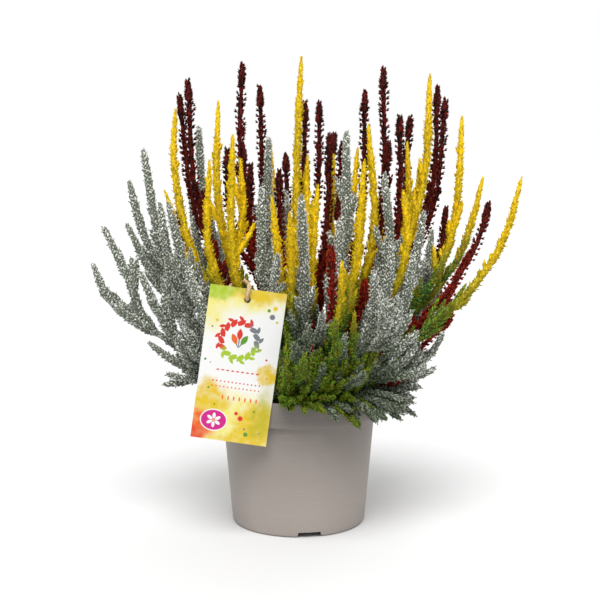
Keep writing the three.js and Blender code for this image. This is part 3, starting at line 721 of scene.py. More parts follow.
def skeleton_of(name, node_name, habit, seed):
    """The lines of a shoot's stems and twigs as a mesh of edges, with what the leaves need at each point."""
    dice = random.Random(seed)
    lines = [(shortened(line, habit["tip_trim"]), False) for line in spike_lines(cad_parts[node_name])]
    foot = lines[0][0][0]
    twigs = []
    for line, _ in lines:
        twigs += side_twigs(line, habit, dice, "twig") + side_twigs(line, habit, dice, "spur")
    twigs = [twig for twig in twigs if not in_front_gap(twig) or dice.random() < habit["front_share"]]
    twigs += rim_twigs(foot, habit, dice)
    lines += [(twig, True) for twig in twigs]
    vertices, edges = [], []
    values = {"girth": [], "stem": [], "age": [], "to_tip": [], "twig": []}
    for line, is_twig in lines:
        steps = np.linalg.norm(np.diff(line, axis=0), axis=1)
        along = np.concatenate([[0], np.cumsum(steps)])
        offset = dice.uniform(-1, 1) * habit["age_spread"]
        for i, point in enumerate(line):
            to_tip = along[-1] - along[i]
            gap = label_gap(point) - LABEL_CLEARANCE / 2
            girth = girth_at(habit, along[i], to_tip, is_twig)
            girth *= dice.uniform(1 - habit["knobbly"], 1 + habit["knobbly"])
            thick = TWIG_RADIUS if is_twig else STEM_FOOT_RADIUS
            slim = TWIG_RADIUS / 2 if is_twig else STEM_TIP_RADIUS
            values["girth"].append(max(min(girth, gap), LEAST_GIRTH))
            values["stem"].append(slim + (thick - slim) * (to_tip / along[-1]))
            values["age"].append(age_at(habit, point, to_tip, offset))
            values["to_tip"].append(to_tip)
            values["twig"].append(float(is_twig))
            if i:
                edges.append((len(vertices) - 1, len(vertices)))
            vertices.append(tuple(point))
    mesh = bpy.data.meshes.new(name)
    mesh.from_pydata(vertices, edges, [])
    for label, along_lines in values.items():
        attribute = mesh.attributes.new(label, "FLOAT", "POINT")
        attribute.data.foreach_set("value", np.array(along_lines, np.float32))
    return mesh


def nodes_tree(name, inputs):
    """A Geometry Nodes tree from geometry to geometry, with these named inputs, and its input node."""
    tree = bpy.data.node_groups.new(name, "GeometryNodeTree")
    tree.interface.new_socket("Geometry", in_out="INPUT", socket_type="NodeSocketGeometry")
    for label, kind, value in inputs:
        socket = tree.interface.new_socket(label, in_out="INPUT", socket_type="NodeSocket" + kind)
        if value is not None:
            socket.default_value = value
    tree.interface.new_socket("Geometry", in_out="OUTPUT", socket_type="NodeSocketGeometry")
    return tree, tree.nodes.new("NodeGroupInput")


def stored(tree, geometry, label, value, domain="POINT", kind="FLOAT"):
    """The geometry with a named attribute that takes this value."""
    settings = {"data_type": kind, "domain": domain}
    return result_of(
        tree, "GeometryNodeStoreNamedAttribute", settings, Geometry=geometry, Name=label, Value=value
    )


def recalled(tree, label, kind="FLOAT"):
    """The named attribute of the geometry that the value is used on."""
    return result_of(tree, "GeometryNodeInputNamedAttribute", {"data_type": kind}, Name=label)


def turned_by(tree, rotation, turn):
    """The rotation followed by a further turn about its own axes."""
    return result_of(
        tree, "FunctionNodeRotateRotation", {"rotation_space": "LOCAL"}, Rotation=rotation, Rotate_By=turn
    )


def chance(tree, low, high, seed):
    """A random value for each point, corner or face."""
    return new_node(
        tree, "FunctionNodeRandomValue", {"data_type": "FLOAT"}, Min_001=low, Max_001=high, Seed=seed
    ).outputs[1]


def vector_of(tree, x=0.0, y=0.0, z=0.0):
    return result_of(tree, "ShaderNodeCombineXYZ", X=x, Y=y, Z=z)


def turn_of(tree, x=0.0, y=0.0, z=0.0):
    return result_of(tree, "FunctionNodeEulerToRotation", Euler=vector_of(tree, x, y, z))


def on_leaf_map(tree, geometry):
    """Lays each leaf on its map by its age across, and by its shade and its own length upwards."""
    number, shade = recalled(tree, "number"), recalled(tree, "shade")
    order = arithmetic(tree, "MULTIPLY_ADD", number, GOLDEN_SHARE, shade)
    shade = arithmetic(tree, "FRACT", order)
    row = arithmetic(tree, "FLOOR", times(tree, shade, float(SHADES)))
    height = arithmetic(tree, "ADD", row, between(tree, recalled(tree, "part"), 0.0, 1.0, *ROW_ENDS))
    age = between(tree, recalled(tree, "age"), 0.0, 1.0, *AGE_ENDS)
    across = arithmetic(tree, "MULTIPLY_ADD", recalled(tree, "side"), LEAF_MAP_WIDTH, age)
    lie = vector_of(tree, across, arithmetic(tree, "DIVIDE", height, float(SHADES)))
    return stored(tree, geometry, LEAF_MAP, lie, "CORNER", "FLOAT2")


def resampled(tree, lines, step):
    """The lines as curves, with points set out a step apart."""
    curve = result_of(tree, "GeometryNodeMeshToCurve", Mesh=lines)
    return result_of(tree, "GeometryNodeResampleCurve", {"mode": "LENGTH"}, Curve=curve, Length=step)


def tufts_round(tree, value, lines, step, tuft):
    """Tufts set round every line in whorls, each leaning out so that its tip reaches the girth."""
    curve = resampled(tree, lines, step)
    curve = stored(tree, curve, "shade", chance(tree, 0.0, 1.0, seed=value["Seed"]))
    girth = recalled(tree, "girth")
    growth = arithmetic(tree, "DIVIDE", girth, value["Full Girth"], clamp=True)
    size_low = arithmetic(tree, "SUBTRACT", 1.0, value["Size Spread"])
    size_there = between(tree, growth, 0.0, 1.0, value["Smallest"], 1.0)
    size = times(tree, size_there, chance(tree, size_low, LARGEST_TUFT, seed=11))
    curve = stored(tree, curve, "size", size)
    length = times(tree, value["Tuft Length"], recalled(tree, "size"))
    furthest = arithmetic(tree, "SINE", value["Lean"])
    slant = arithmetic(tree, "MINIMUM", arithmetic(tree, "DIVIDE", girth, length), furthest)
    covered = times(tree, length, slant)
    root = arithmetic(tree, "MAXIMUM", arithmetic(tree, "SUBTRACT", girth, covered), 0.0)
    wander = times(tree, value["Lean Spread"], chance(tree, -1.0, 1.0, seed=12))
    lean = arithmetic(tree, "ADD", arithmetic(tree, "ARCSINE", slant), wander)
    number = tree.nodes.new("GeometryNodeInputIndex").outputs[0]
    stray_spin = chance(tree, -SPIN_SPREAD, SPIN_SPREAD, seed=13)
    spin = arithmetic(tree, "MULTIPLY_ADD", number, value["Turn"], stray_spin)
    tangent = tree.nodes.new("GeometryNodeInputTangent").outputs[0]
    upright = result_of(tree, "FunctionNodeAlignRotationToVector", {"axis": "Z"}, Vector=tangent)
    facing = turned_by(tree, upright, turn_of(tree, z=spin))
    curve = stored(tree, curve, "facing", facing, kind="QUATERNION")
    facing = recalled(tree, "facing", "QUATERNION")
    leafy = arithmetic(tree, "GREATER_THAN", girth, LEAFY_GIRTH)
    to_tip = recalled(tree, "to_tip")
    whorl = arithmetic(tree, "FRACT", arithmetic(tree, "DIVIDE", to_tip, value["Whorl Step"]))
    in_whorl = arithmetic(tree, "LESS_THAN", whorl, value["Whorl Share"])
    in_club = arithmetic(tree, "LESS_THAN", to_tip, value["Club"])
    leafy = times(tree, leafy, arithmetic(tree, "MAXIMUM", in_whorl, in_club))
    outward = vector_of(tree, x=root)
    outward = result_of(tree, "FunctionNodeRotateVector", Vector=outward, Rotation=facing)
    curve = result_of(tree, "GeometryNodeSetPosition", Geometry=curve, Offset=outward)
    size = recalled(tree, "size")
    tufts = result_of(
        tree, "GeometryNodeInstanceOnPoints", Points=curve, Selection=leafy, Instance=tuft,
        Rotation=turned_by(tree, facing, turn_of(tree, y=lean)), Scale=vector_of(tree, size, size, size),
    )
    return result_of(tree, "GeometryNodeRealizeInstances", Geometry=tufts)


def scale_column(tree, value, lines, step, sides):
    """The close scale leaves under the tufts: a column on which every other point stands out and up."""
    column = resampled(tree, lines, step)
    tangent = tree.nodes.new("GeometryNodeInputTangent").outputs[0]
    column = stored(tree, column, "upward", tangent, kind="FLOAT_VECTOR")
    ring = result_of(tree, "GeometryNodeCurvePrimitiveCircle", Resolution=sides, Radius=1.0)
    open_part = arithmetic(tree, "GREATER_THAN", recalled(tree, "to_tip"), value["Club"])
    open_share = between(tree, open_part, 0.0, 1.0, 1.0, value["Open Core"])
    share = times(tree, value["Core Share"], open_share)
    core_girth = times(tree, recalled(tree, "girth"), share)
    column = result_of(
        tree, "GeometryNodeCurveToMesh", Curve=column, Profile_Curve=ring, Scale=core_girth, Fill_Caps=True
    )
    place = tree.nodes.new("GeometryNodeInputIndex").outputs[0]
    level = arithmetic(tree, "FLOOR", arithmetic(tree, "DIVIDE", place, float(sides)))
    stands = arithmetic(tree, "FLOORED_MODULO", arithmetic(tree, "ADD", place, level), 2.0)
    part = times(tree, stands, chance(tree, *SCALE_TIPS, seed=14))
    column = stored(tree, column, "part", part)
    column = stored(tree, column, "shade", chance(tree, 0.0, 1.0, seed=15), "FACE")
    height = times(tree, recalled(tree, "girth"), value["Scale Height"])
    height = times(tree, height, stands)
    height = times(tree, height, chance(tree, *SCALE_SIZES, seed=16))
    outward = scaled(tree, tree.nodes.new("GeometryNodeInputNormal").outputs[0], height)
    lift = times(tree, value["Scale Lift"], stands)
    lift = times(tree, lift, chance(tree, *SCALE_SIZES, seed=17))
    upward = scaled(tree, recalled(tree, "upward", "FLOAT_VECTOR"), lift)
    shift = result_of(tree, "ShaderNodeVectorMath", {"operation": "ADD"}, Vector=outward, Vector_001=upward)
    column = result_of(tree, "GeometryNodeSetPosition", Geometry=column, Offset=shift)
    stray = vector_of(tree, *[chance(tree, -SCALE_STRAY, SCALE_STRAY, seed) for seed in (18, 19, 20)])
    column = result_of(tree, "GeometryNodeSetPosition", Geometry=column, Offset=stray)
    return result_of(tree, "GeometryNodeTriangulate", {"quad_method": "SHORTEST_DIAGONAL"}, Mesh=column)


def tufted_spike_tree():
    """Short leafy side shoots set round every line, each leaning out so that its tip reaches the girth."""
    tree, given = nodes_tree("tufted spike", [
        ("Leaf Length", "Float", 0.0022), ("Leaf Width", "Float", 0.0013),
        ("Leaf Thickness", "Float", 0.0009), ("Leaf Sides", "Int", 4), ("Widest", "Float", 0.5),
        ("Leaves", "Int", 5), ("Leaf Pitch", "Float", 0.0008),
        ("Fan Low", "Float", 0.7), ("Fan High", "Float", 0.15), ("Tuft Step", "Float", 0.0007),
        ("Turn", "Float", GOLDEN_ANGLE), ("Tuft Length", "Float", 0.0055), ("Lean", "Float", 0.65),
        ("Lean Spread", "Float", 0.15), ("Size Spread", "Float", 0.2), ("Smallest", "Float", 0.6),
        ("Full Girth", "Float", 0.0043), ("Core Share", "Float", 0.45), ("Scale Step", "Float", 0.0014),
        ("Scale Height", "Float", 0.3), ("Scale Lift", "Float", 0.0012), ("Club", "Float", 0.02),
        ("Whorl Step", "Float", 0.003), ("Whorl Share", "Float", 1.0), ("Open Core", "Float", 1.0),
        ("Seed", "Int", 1), ("Material", "Material", None),
    ])
    value = given.outputs
    # One leaf: a slender spindle
    ball = new_node(
        tree, "GeometryNodeMeshUVSphere", Segments=value["Leaf Sides"], Rings=2, Radius=1.0
    ).outputs["Mesh"]
    place = tree.nodes.new("GeometryNodeInputPosition").outputs[0]
    apart = new_node(tree, "ShaderNodeSeparateXYZ", Vector=place)
    along = apart.outputs["Z"]
    ball = stored(tree, ball, "part", arithmetic(tree, "MULTIPLY_ADD", along, 0.5, 0.5))
    ball = stored(tree, ball, "side", apart.outputs["X"])
    bend = times(tree, along, arithmetic(tree, "SUBTRACT", 0.5, value["Widest"]))
    rise = arithmetic(tree, "MULTIPLY_ADD", along, arithmetic(tree, "ADD", bend, 0.5), value["Widest"])
    half_width = times(tree, value["Leaf Width"], 0.5)
    half_thickness = times(tree, value["Leaf Thickness"], 0.5)
    shaped = vector_of(
        tree,
        times(tree, apart.outputs["X"], half_thickness),
        times(tree, apart.outputs["Y"], half_width),
        times(tree, rise, value["Leaf Length"]),
    )
    leaf = result_of(tree, "GeometryNodeSetPosition", Geometry=ball, Position=shaped)
    # One side shoot: leaves set up a short axis, the lowest spread most
    pitch = vector_of(tree, z=value["Leaf Pitch"])
    axis = result_of(tree, "GeometryNodeMeshLine", Count=value["Leaves"], Offset=pitch)
    number = tree.nodes.new("GeometryNodeInputIndex").outputs[0]
    last = arithmetic(tree, "SUBTRACT", value["Leaves"], 1.0)
    openness = between(tree, number, 0.0, last, value["Fan Low"], value["Fan High"])
    azimuth = times(tree, number, GOLDEN_ANGLE)
    points = stored(tree, axis, "number", number)
    tuft = result_of(
        tree, "GeometryNodeInstanceOnPoints", Points=points, Instance=leaf,
        Rotation=turn_of(tree, y=openness, z=azimuth),
    )
    tuft = result_of(tree, "GeometryNodeRealizeInstances", Geometry=tuft)
    # The side shoots stand round each line, the stems' closer than the twigs'
    is_twig = arithmetic(tree, "GREATER_THAN", recalled(tree, "twig"), 0.5)
    parted = new_node(
        tree, "GeometryNodeSeparateGeometry", {"domain": "POINT"},
        Geometry=value["Geometry"], Selection=is_twig,
    )
    twigs, spikes = parted.outputs[0], parted.outputs[1]
    leaves = tree.nodes.new("GeometryNodeJoinGeometry")
    for lines, thinned, sides in ((spikes, 1.0, STEM_SCALES), (twigs, TWIG_THINNING, TWIG_SCALES)):
        step = times(tree, value["Tuft Step"], thinned)
        tufts = tufts_round(tree, value, lines, step, tuft)
        tree.links.new(on_leaf_map(tree, tufts), leaves.inputs[0])
        step = times(tree, value["Scale Step"], 0.5 + 0.5 * thinned)
        scales = scale_column(tree, value, lines, step, sides)
        tree.links.new(on_leaf_map(tree, scales), leaves.inputs[0])
    leaves = leaves.outputs[0]
    for label in (
        "shade", "number", "side", "part", "girth", "stem", "age", "to_tip", "twig", "size", "facing",
        "upward",
    ):
        leaves = result_of(tree, "GeometryNodeRemoveAttribute", Geometry=leaves, Name=label)
    leaves = result_of(tree, "GeometryNodeSetShadeSmooth", Geometry=leaves)
    leaves = result_of(tree, "GeometryNodeSetMaterial", Geometry=leaves, Material=value["Material"])
    leave = tree.nodes.new("NodeGroupOutput")
    tree.links.new(leaves, leave.inputs[0])
    return tree


def stem_tree():
    """A round stem along every line, as thick as the line says at each point, with closed ends."""
    tree, given = nodes_tree("woody stems", [("Sides", "Int", STEM_SIDES), ("Material", "Material", None)])
    value = given.outputs
    curve = result_of(tree, "GeometryNodeMeshToCurve", Mesh=value["Geometry"])
    sides, thickness = value["Sides"], recalled(tree, "stem")
    ring = result_of(tree, "GeometryNodeCurvePrimitiveCircle", Resolution=sides, Radius=1.0)
    tube = result_of(
        tree, "GeometryNodeCurveToMesh", Curve=curve, Profile_Curve=ring, Scale=thickness, Fill_Caps=True
    )
    for label in ("girth", "stem", "age", "to_tip", "twig"):
        tube = result_of(tree, "GeometryNodeRemoveAttribute", Geometry=tube, Name=label)
    tube = result_of(tree, "GeometryNodeSetShadeSmooth", Geometry=tube)
    tube = result_of(tree, "GeometryNodeRealizeInstances", Geometry=tube)
    tube = result_of(tree, "GeometryNodeSetMaterial", Geometry=tube, Material=value["Material"])
    leave = tree.nodes.new("NodeGroupOutput")
    tree.links.new(tube, leave.inputs[0])
    return tree


TUFTED_SPIKE = tufted_spike_tree()
WOODY_STEMS = stem_tree()


def grown(name, skeleton, tree, values):
    """The plain mesh that a tree makes from a skeleton. Its input Leaf Length takes the value leaf_length."""
    piece = bpy.data.objects.new(name, skeleton.copy())
    scene.collection.objects.link(piece)
    growth = piece.modifiers.new("growth", "NODES")
    growth.node_group = tree
    for socket in tree.interface.items_tree:
        key = socket.name.lower().replace(" ", "_")
        if socket.in_out == "INPUT" and key in values:
            growth[socket.identifier] = values[key]
    plain_mesh(piece)
    return piece


def leaf_colour_group():
    """Leaf colours from the leaf's own map: young to old across it, base to tip up each leaf, in shades."""
    group = bpy.data.node_groups.new("leaf colours", "ShaderNodeTree")
    for label in ("Young Base", "Young Tip", "Old Base", "Old Tip", "Fleck"):
        group.interface.new_socket(label, in_out="INPUT", socket_type="NodeSocketColor")
    for label in ("Fleck Share", "Shade Spread", "Tip Begins", "Tip Full"):
        group.interface.new_socket(label, in_out="INPUT", socket_type="NodeSocketFloat")
    group.interface.new_socket("Colour", in_out="OUTPUT", socket_type="NodeSocketColor")
    value = group.nodes.new("NodeGroupInput").outputs
    lie = result_of(group, "ShaderNodeUVMap", {"uv_map": LEAF_MAP})
    apart = new_node(group, "ShaderNodeSeparateXYZ", Vector=lie)
    steps = times(group, apart.outputs["Y"], float(SHADES))
    part = arithmetic(group, "FRACT", steps)
    shade = arithmetic(group, "DIVIDE", arithmetic(group, "FLOOR", steps), SHADES - 1.0)
    age = apart.outputs["X"]
    base = blended(group, age, value["Young Base"], value["Old Base"])
    tip = blended(group, age, value["Young Tip"], value["Old Tip"])
    tipped = between(group, part, value["Tip Begins"], value["Tip Full"], kind="SMOOTHSTEP")
    colour = blended(group, tipped, base, tip)
    lowest = arithmetic(group, "SUBTRACT", 1.0, value["Shade Spread"])
    highest = arithmetic(group, "ADD", 1.0, value["Shade Spread"])
    brightness = between(group, shade, 0.0, 1.0, lowest, highest)
    colour = result_of(group, "ShaderNodeHueSaturation", Color=colour, Value=brightness)
    flecked = arithmetic(group, "LESS_THAN", shade, value["Fleck Share"])
    colour = blended(group, times(group, flecked, FLECK_STRENGTH), colour, value["Fleck"])
    leave = group.nodes.new("NodeGroupOutput")
    group.links.new(colour, leave.inputs[0])
    return group


LEAF_COLOURS = leaf_colour_group()


def leaf_finish(name, colours, roughness, shine, sheen):
    """A leaf material: the leaf colours under a plain shine."""
    material, tree, shader = finish_of(
        name, Roughness=roughness, Specular_IOR_Level=shine, Sheen_Weight=sheen
    )
    node = tree.nodes.new("ShaderNodeGroup")
    node.node_tree = LEAF_COLOURS
    for label, value in colours.items():
        node.inputs[label].default_value = value
    tree.links.new(node.outputs[0], shader.inputs["Base Color"])
    return material


def bark_finish(name, dark, light):
    """A bark material: dark and light brown in fine mottles."""
    material, tree, shader = finish_of(name, Roughness=0.8, Specular_IOR_Level=0.3)
    mottle, _ = add_grain(tree, mottle_size=400.0, grain_size=1500.0)
    tree.links.new(blended(tree, mottle, dark, light), shader.inputs["Base Color"])
    return material


def grow_shoots(variety, habit, leaf_material, bark_material, first_seed):
    """The leaves and the stems of every shoot of a variety, each pair in place of its own CAD node."""
    nodes = sorted(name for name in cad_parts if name.startswith(variety + "_shoot_"))
    for index, node_name in enumerate(nodes):
        seed = first_seed + index
        skeleton = skeleton_of(node_name + "_lines", node_name, habit, seed)
        leaf_values = {**habit, "seed": seed, "material": leaf_material}
        leaves = grown(node_name + "_leaves", skeleton, TUFTED_SPIKE, leaf_values)
        stem_values = {"sides": STEM_SIDES, "material": bark_material}
        stems = grown(node_name + "_stems", skeleton, WOODY_STEMS, stem_values)
        for piece, slot in ((leaves, variety + "_foliage"), (stems, "woody_stem")):
            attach(piece, "root")
            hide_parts(node_name)


# A habit's rows are: the reach of the leaves along a spike, a leaf, the leaves in a tuft, the tufts on a
# stem, the whorls below the club at the tip, the core of scale leaves, the long side twigs, the short
# spurs, the twigs over the rim, the shade that ages leaves, and the lengths that age them
SILVER_HABIT = {
    "full_girth": 4.9 * MM, "twig_girth": 4.0 * MM, "taper": 24 * MM, "twig_taper": 9 * MM,
    "tip_share": 0.42, "knobbly": 0.1, "tip_trim": 0,
    "leaf_length": 2.8 * MM, "leaf_width": 1.6 * MM, "leaf_thickness": 1.2 * MM,
    "leaf_sides": 3, "widest": 0.62,
    "leaves": 4, "leaf_pitch": 0.7 * MM, "fan_low": 0.8, "fan_high": 0.1,
    "tuft_length": 4.9 * MM, "tuft_step": 0.95 * MM, "turn": math.pi / 2 + 0.05, "lean": 0.75,
    "lean_spread": 0.16, "size_spread": 0.25, "smallest": 0.6,
    "club": 8 * MM, "whorl_step": 3.0 * MM, "whorl_share": 0.8,
    "core_share": 0.52, "open_core": 0.95, "scale_step": 1.5 * MM,
    "scale_height": 0.3, "scale_lift": 1.2 * MM,
    "twig_from": 0.05, "twig_to": 0.64, "twig_length": 32 * MM, "twig_step": 8 * MM, "twig_angle": (16, 34),
    "spur_from": 0.5, "spur_to": 0.8, "spur_length": 9 * MM, "spur_step": 18 * MM, "spur_angle": (25, 40),
    "rim_twigs": (5, 4), "rim_spread": 0.45, "rim_pull": 0.0, "rim_drop": 2,
    "rim_rise": 22, "hanging": 0.9, "front_share": 0.3,
    "old_within": 55 * MM, "young_beyond": 95 * MM, "side_light": 0.9, "side_shade": 0.0,
    "young_length": 10 * MM, "old_length": 60 * MM, "age_spread": 12 * MM,
}
silver_leaves = leaf_finish("felted silver leaves", {
    "Young Base": (0.12, 0.14, 0.098, 1), "Young Tip": (0.90, 0.91, 0.85, 1),
    "Old Base": (0.02, 0.034, 0.014, 1), "Old Tip": (0.20, 0.25, 0.13, 1),
    "Fleck": (0.16, 0.18, 0.14, 1), "Fleck Share": 0.1, "Shade Spread": 0.25,
    "Tip Begins": 0.3, "Tip Full": 0.75,
}, roughness=0.85, shine=0.3, sheen=0.15)
silver_bark = bark_finish("silver heather bark", (0.09, 0.06, 0.045, 1), (0.28, 0.22, 0.17, 1))
grow_shoots("silver", SILVER_HABIT, silver_leaves, silver_bark, first_seed=100)

# Yellow shoots
# Slim golden spikes of scale-like leaves on short side shoots, drawn out into long pointed tips. Low
# down, out of the light, the same leaves are fresh green.
YELLOW_HABIT = {
    "full_girth": 4.3 * MM, "twig_girth": 3.4 * MM, "taper": 48 * MM, "twig_taper": 12 * MM,
    "tip_share": 0.24, "knobbly": 0.18, "tip_trim": -1 * MM,
    "leaf_length": 2.3 * MM, "leaf_width": 1.25 * MM, "leaf_thickness": 0.95 * MM,
    "leaf_sides": 3, "widest": 0.42,
    "leaves": 4, "leaf_pitch": 0.75 * MM, "fan_low": 0.75, "fan_high": 0.1,
    "tuft_length": 4.4 * MM, "tuft_step": 0.8 * MM, "turn": GOLDEN_ANGLE, "lean": 0.66,
    "lean_spread": 0.22, "size_spread": 0.35, "smallest": 0.5,
    "club": 20 * MM, "whorl_step": 3.2 * MM, "whorl_share": 0.85,
    "core_share": 0.48, "open_core": 0.95, "scale_step": 1.4 * MM,
    "scale_height": 0.3, "scale_lift": 1.4 * MM,
    "twig_from": 0.05, "twig_to": 0.56, "twig_length": 27 * MM, "twig_step": 11 * MM, "twig_angle": (15, 32),
    "spur_from": 0.35, "spur_to": 0.88, "spur_length": 9 * MM, "spur_step": 9 * MM, "spur_angle": (25, 42),
    "rim_twigs": (13, 3), "rim_spread": 0.6, "rim_pull": 0.6, "rim_drop": 11,
    "rim_rise": -4, "hanging": 0.05, "front_share": 1.0,
    "old_within": 58 * MM, "young_beyond": 114 * MM, "side_light": 0.0, "side_shade": 0.15,
    "young_length": 18 * MM, "old_length": 70 * MM, "age_spread": 18 * MM,
}
yellow_leaves = leaf_finish("golden heather leaves", {
    "Young Base": (0.74, 0.48, 0.0, 1), "Young Tip": (1.0, 0.71, 0.0, 1),
    "Old Base": (0.006, 0.030, 0.004, 1), "Old Tip": (0.115, 0.40, 0.024, 1),
    "Fleck": (0.34, 0.27, 0.004, 1), "Fleck Share": 0.03, "Shade Spread": 0.22,
    "Tip Begins": 0.3, "Tip Full": 0.9,
}, roughness=0.6, shine=0.25, sheen=0.0)
yellow_bark = bark_finish("yellow heather bark", (0.10, 0.07, 0.02, 1), (0.30, 0.24, 0.08, 1))
grow_shoots("yellow", YELLOW_HABIT, yellow_leaves, yellow_bark, first_seed=200)

# Red shoots
# Dark red spikes with a dense club of buds at the tip and separate splayed tufts below it, through which
# the stem shows. The lower tufts are a brighter red.
RED_HABIT = {
    "full_girth": 5.0 * MM, "twig_girth": 3.8 * MM, "taper": 20 * MM, "twig_taper": 7 * MM,
    "tip_share": 0.42, "knobbly": 0.14, "tip_trim": 0,
    "leaf_length": 4.2 * MM, "leaf_width": 1.8 * MM, "leaf_thickness": 1.5 * MM,
    "leaf_sides": 4, "widest": 0.62,
    "leaves": 2, "leaf_pitch": 0.6 * MM, "fan_low": 0.35, "fan_high": 0.1,
    "tuft_length": 5.0 * MM, "tuft_step": 0.55 * MM, "turn": GOLDEN_ANGLE, "lean": 0.95,
    "lean_spread": 0.2, "size_spread": 0.25, "smallest": 0.75,
    "club": 15 * MM, "whorl_step": 4.4 * MM, "whorl_share": 0.5,
    "core_share": 0.5, "open_core": 0.42, "scale_step": 1.8 * MM,
    "scale_height": 0.25, "scale_lift": 1.4 * MM,
    "twig_from": 0.1, "twig_to": 0.5, "twig_length": 20 * MM, "twig_step": 12 * MM, "twig_angle": (15, 32),
    "spur_from": 0.4, "spur_to": 0.75, "spur_length": 8 * MM, "spur_step": 24 * MM, "spur_angle": (25, 40),
    "rim_twigs": (1, 1), "rim_spread": 0.45, "rim_pull": 0.0, "rim_drop": 4,
    "rim_rise": 12, "hanging": 0.0, "front_share": 1.0,
    "old_within": 75 * MM, "young_beyond": 165 * MM, "side_light": 0.3, "side_shade": 0.0,
    "young_length": 20 * MM, "old_length": 80 * MM, "age_spread": 20 * MM,
}
red_leaves = leaf_finish("dark red buds", {
    "Young Base": (0.010, 0.003, 0.002, 1), "Young Tip": (0.082, 0.012, 0.007, 1),
    "Old Base": (0.08, 0.006, 0.003, 1), "Old Tip": (0.55, 0.035, 0.012, 1),
    "Fleck": (0.20, 0.012, 0.01, 1), "Fleck Share": 0.15, "Shade Spread": 0.35,
    "Tip Begins": 0.3, "Tip Full": 0.9,
}, roughness=0.7, shine=0.1, sheen=0.0)
red_bark = bark_finish("red heather bark", (0.05, 0.012, 0.012, 1), (0.24, 0.08, 0.06, 1))
grow_shoots("red", RED_HABIT, red_leaves, red_bark, first_seed=300)

# Label
# A hang label die cut from coated card, with a round hole near the top edge. It is printed on its front
# with watercolour washes round a white middle, a wreath of leaves, a spray, rows of dots and a flower disc.
# Places and sizes of the print are in millimetres, from the middle of the card.
CARD_WHITE = (0.80, 0.80, 0.79, 1)
PRINT_YELLOW = (0.68, 0.47, 0.002, 1)
PRINT_PALE = (0.78, 0.70, 0.16, 1)
PRINT_LIME = (0.34, 0.50, 0.01, 1)
PRINT_OLIVE = (0.42, 0.38, 0.01, 1)
PRINT_GREEN = (0.09, 0.27, 0.01, 1)
PRINT_GREY = (0.15, 0.17, 0.19, 1)
PRINT_RED = (0.62, 0.02, 0.008, 1)
PRINT_ORANGE = (0.74, 0.11, 0.005, 1)
PRINT_MAGENTA = (0.56, 0.0, 0.21, 1)
PRINTED_SIDE = 0.2
WASH_DRIFT = 9.0
WASH_RAGGEDNESS = (85.0, 97.0)
WASH_GRAIN = 170.0
CRISP = 0.03


def laid(tree, place, across, up, turn=0.0):
    """A place on the card measured from a motif's own middle, and turned clockwise with the motif."""
    x = arithmetic(tree, "SUBTRACT", place[0], across)
    z = arithmetic(tree, "SUBTRACT", place[1], up)
    if turn == 0:
        return x, z
    cosine, sine = math.cos(math.radians(turn)), math.sin(math.radians(turn))
    turned_x = arithmetic(tree, "MULTIPLY_ADD", z, -sine, times(tree, x, cosine))
    turned_z = arithmetic(tree, "MULTIPLY_ADD", z, cosine, times(tree, x, sine))
    return turned_x, turned_z


def distance_of(tree, x, z):
    """How far a place is from the motif's middle."""
    square = times(tree, x, x)
    return arithmetic(tree, "SQRT", arithmetic(tree, "MULTIPLY_ADD", z, z, square))


def round_spot(tree, place, across, up, soft):
    """Inside an ellipse round the motif's middle."""
    x = times(tree, place[0], 1 / across)
    z = times(tree, place[1], 1 / up)
    return between(tree, distance_of(tree, x, z), 1 - soft, 1 + soft, 1.0, 0.0, "SMOOTHSTEP")


def leaf_spot(tree, place, half_width, half_length, soft=0.15):
    """Inside a leaf that stands upright on the motif's middle, pointed at both ends."""
    aside = times(tree, arithmetic(tree, "ABSOLUTE", place[0]), 1 / half_width)
    lengthwise = times(tree, place[1], place[1])
    reach = arithmetic(tree, "MULTIPLY_ADD", lengthwise, 1 / half_length ** 2, aside)
    return between(tree, reach, 1 - soft, 1 + soft, 1.0, 0.0, "SMOOTHSTEP")


def round_repeat(tree, place, count):
    """The place as seen from the nearest of so many rays round the motif's middle."""
    angle = arithmetic(tree, "ARCTAN2", place[0], place[1])
    ray = arithmetic(tree, "ROUND", times(tree, angle, count / (2 * math.pi)))
    angle = arithmetic(tree, "MULTIPLY_ADD", ray, -2 * math.pi / count, angle)
    distance = distance_of(tree, *place)
    x = times(tree, distance, arithmetic(tree, "SINE", angle))
    return x, times(tree, distance, arithmetic(tree, "COSINE", angle))


def row_repeat(tree, place, step, half_count):
    """The place as seen from the nearest stop of a level row."""
    stop = arithmetic(tree, "ROUND", times(tree, place[0], 1 / step))
    stop = arithmetic(tree, "MAXIMUM", arithmetic(tree, "MINIMUM", stop, half_count), -half_count)
    return arithmetic(tree, "MULTIPLY_ADD", stop, -step, place[0]), place[1]


# Each wash: across, up, reach across, reach up, softness of its edge, ink and strength
WASHES = [
    (0, 57, 34, 15, 0.5, PRINT_PALE, 1.0), (-26, 42, 11, 18, 0.6, PRINT_PALE, 0.9),
    (11, 57, 25, 8, 0.3, PRINT_YELLOW, 0.95), (-20, 55, 12, 7, 0.3, PRINT_LIME, 0.95),
    (-1, 57, 8, 3, 0.5, PRINT_GREEN, 0.35), (0, -52, 40, 29, 0.35, PRINT_PALE, 1.0),
    (23, -5, 8, 8, 0.25, PRINT_YELLOW, 1.0), (-19, -26, 14, 13, 0.3, PRINT_YELLOW, 1.0),
    (19, -43, 15, 17, 0.3, PRINT_YELLOW, 1.0), (23, -36, 8, 20, 0.5, PRINT_OLIVE, 0.7),
    (8, -57, 18, 5, 0.4, PRINT_YELLOW, 0.9), (-25, -49, 14, 12, 0.3, PRINT_ORANGE, 1.0),
    (-27, -54, 10, 8, 0.4, PRINT_RED, 0.7),
]
WREATH = (-2, 19)
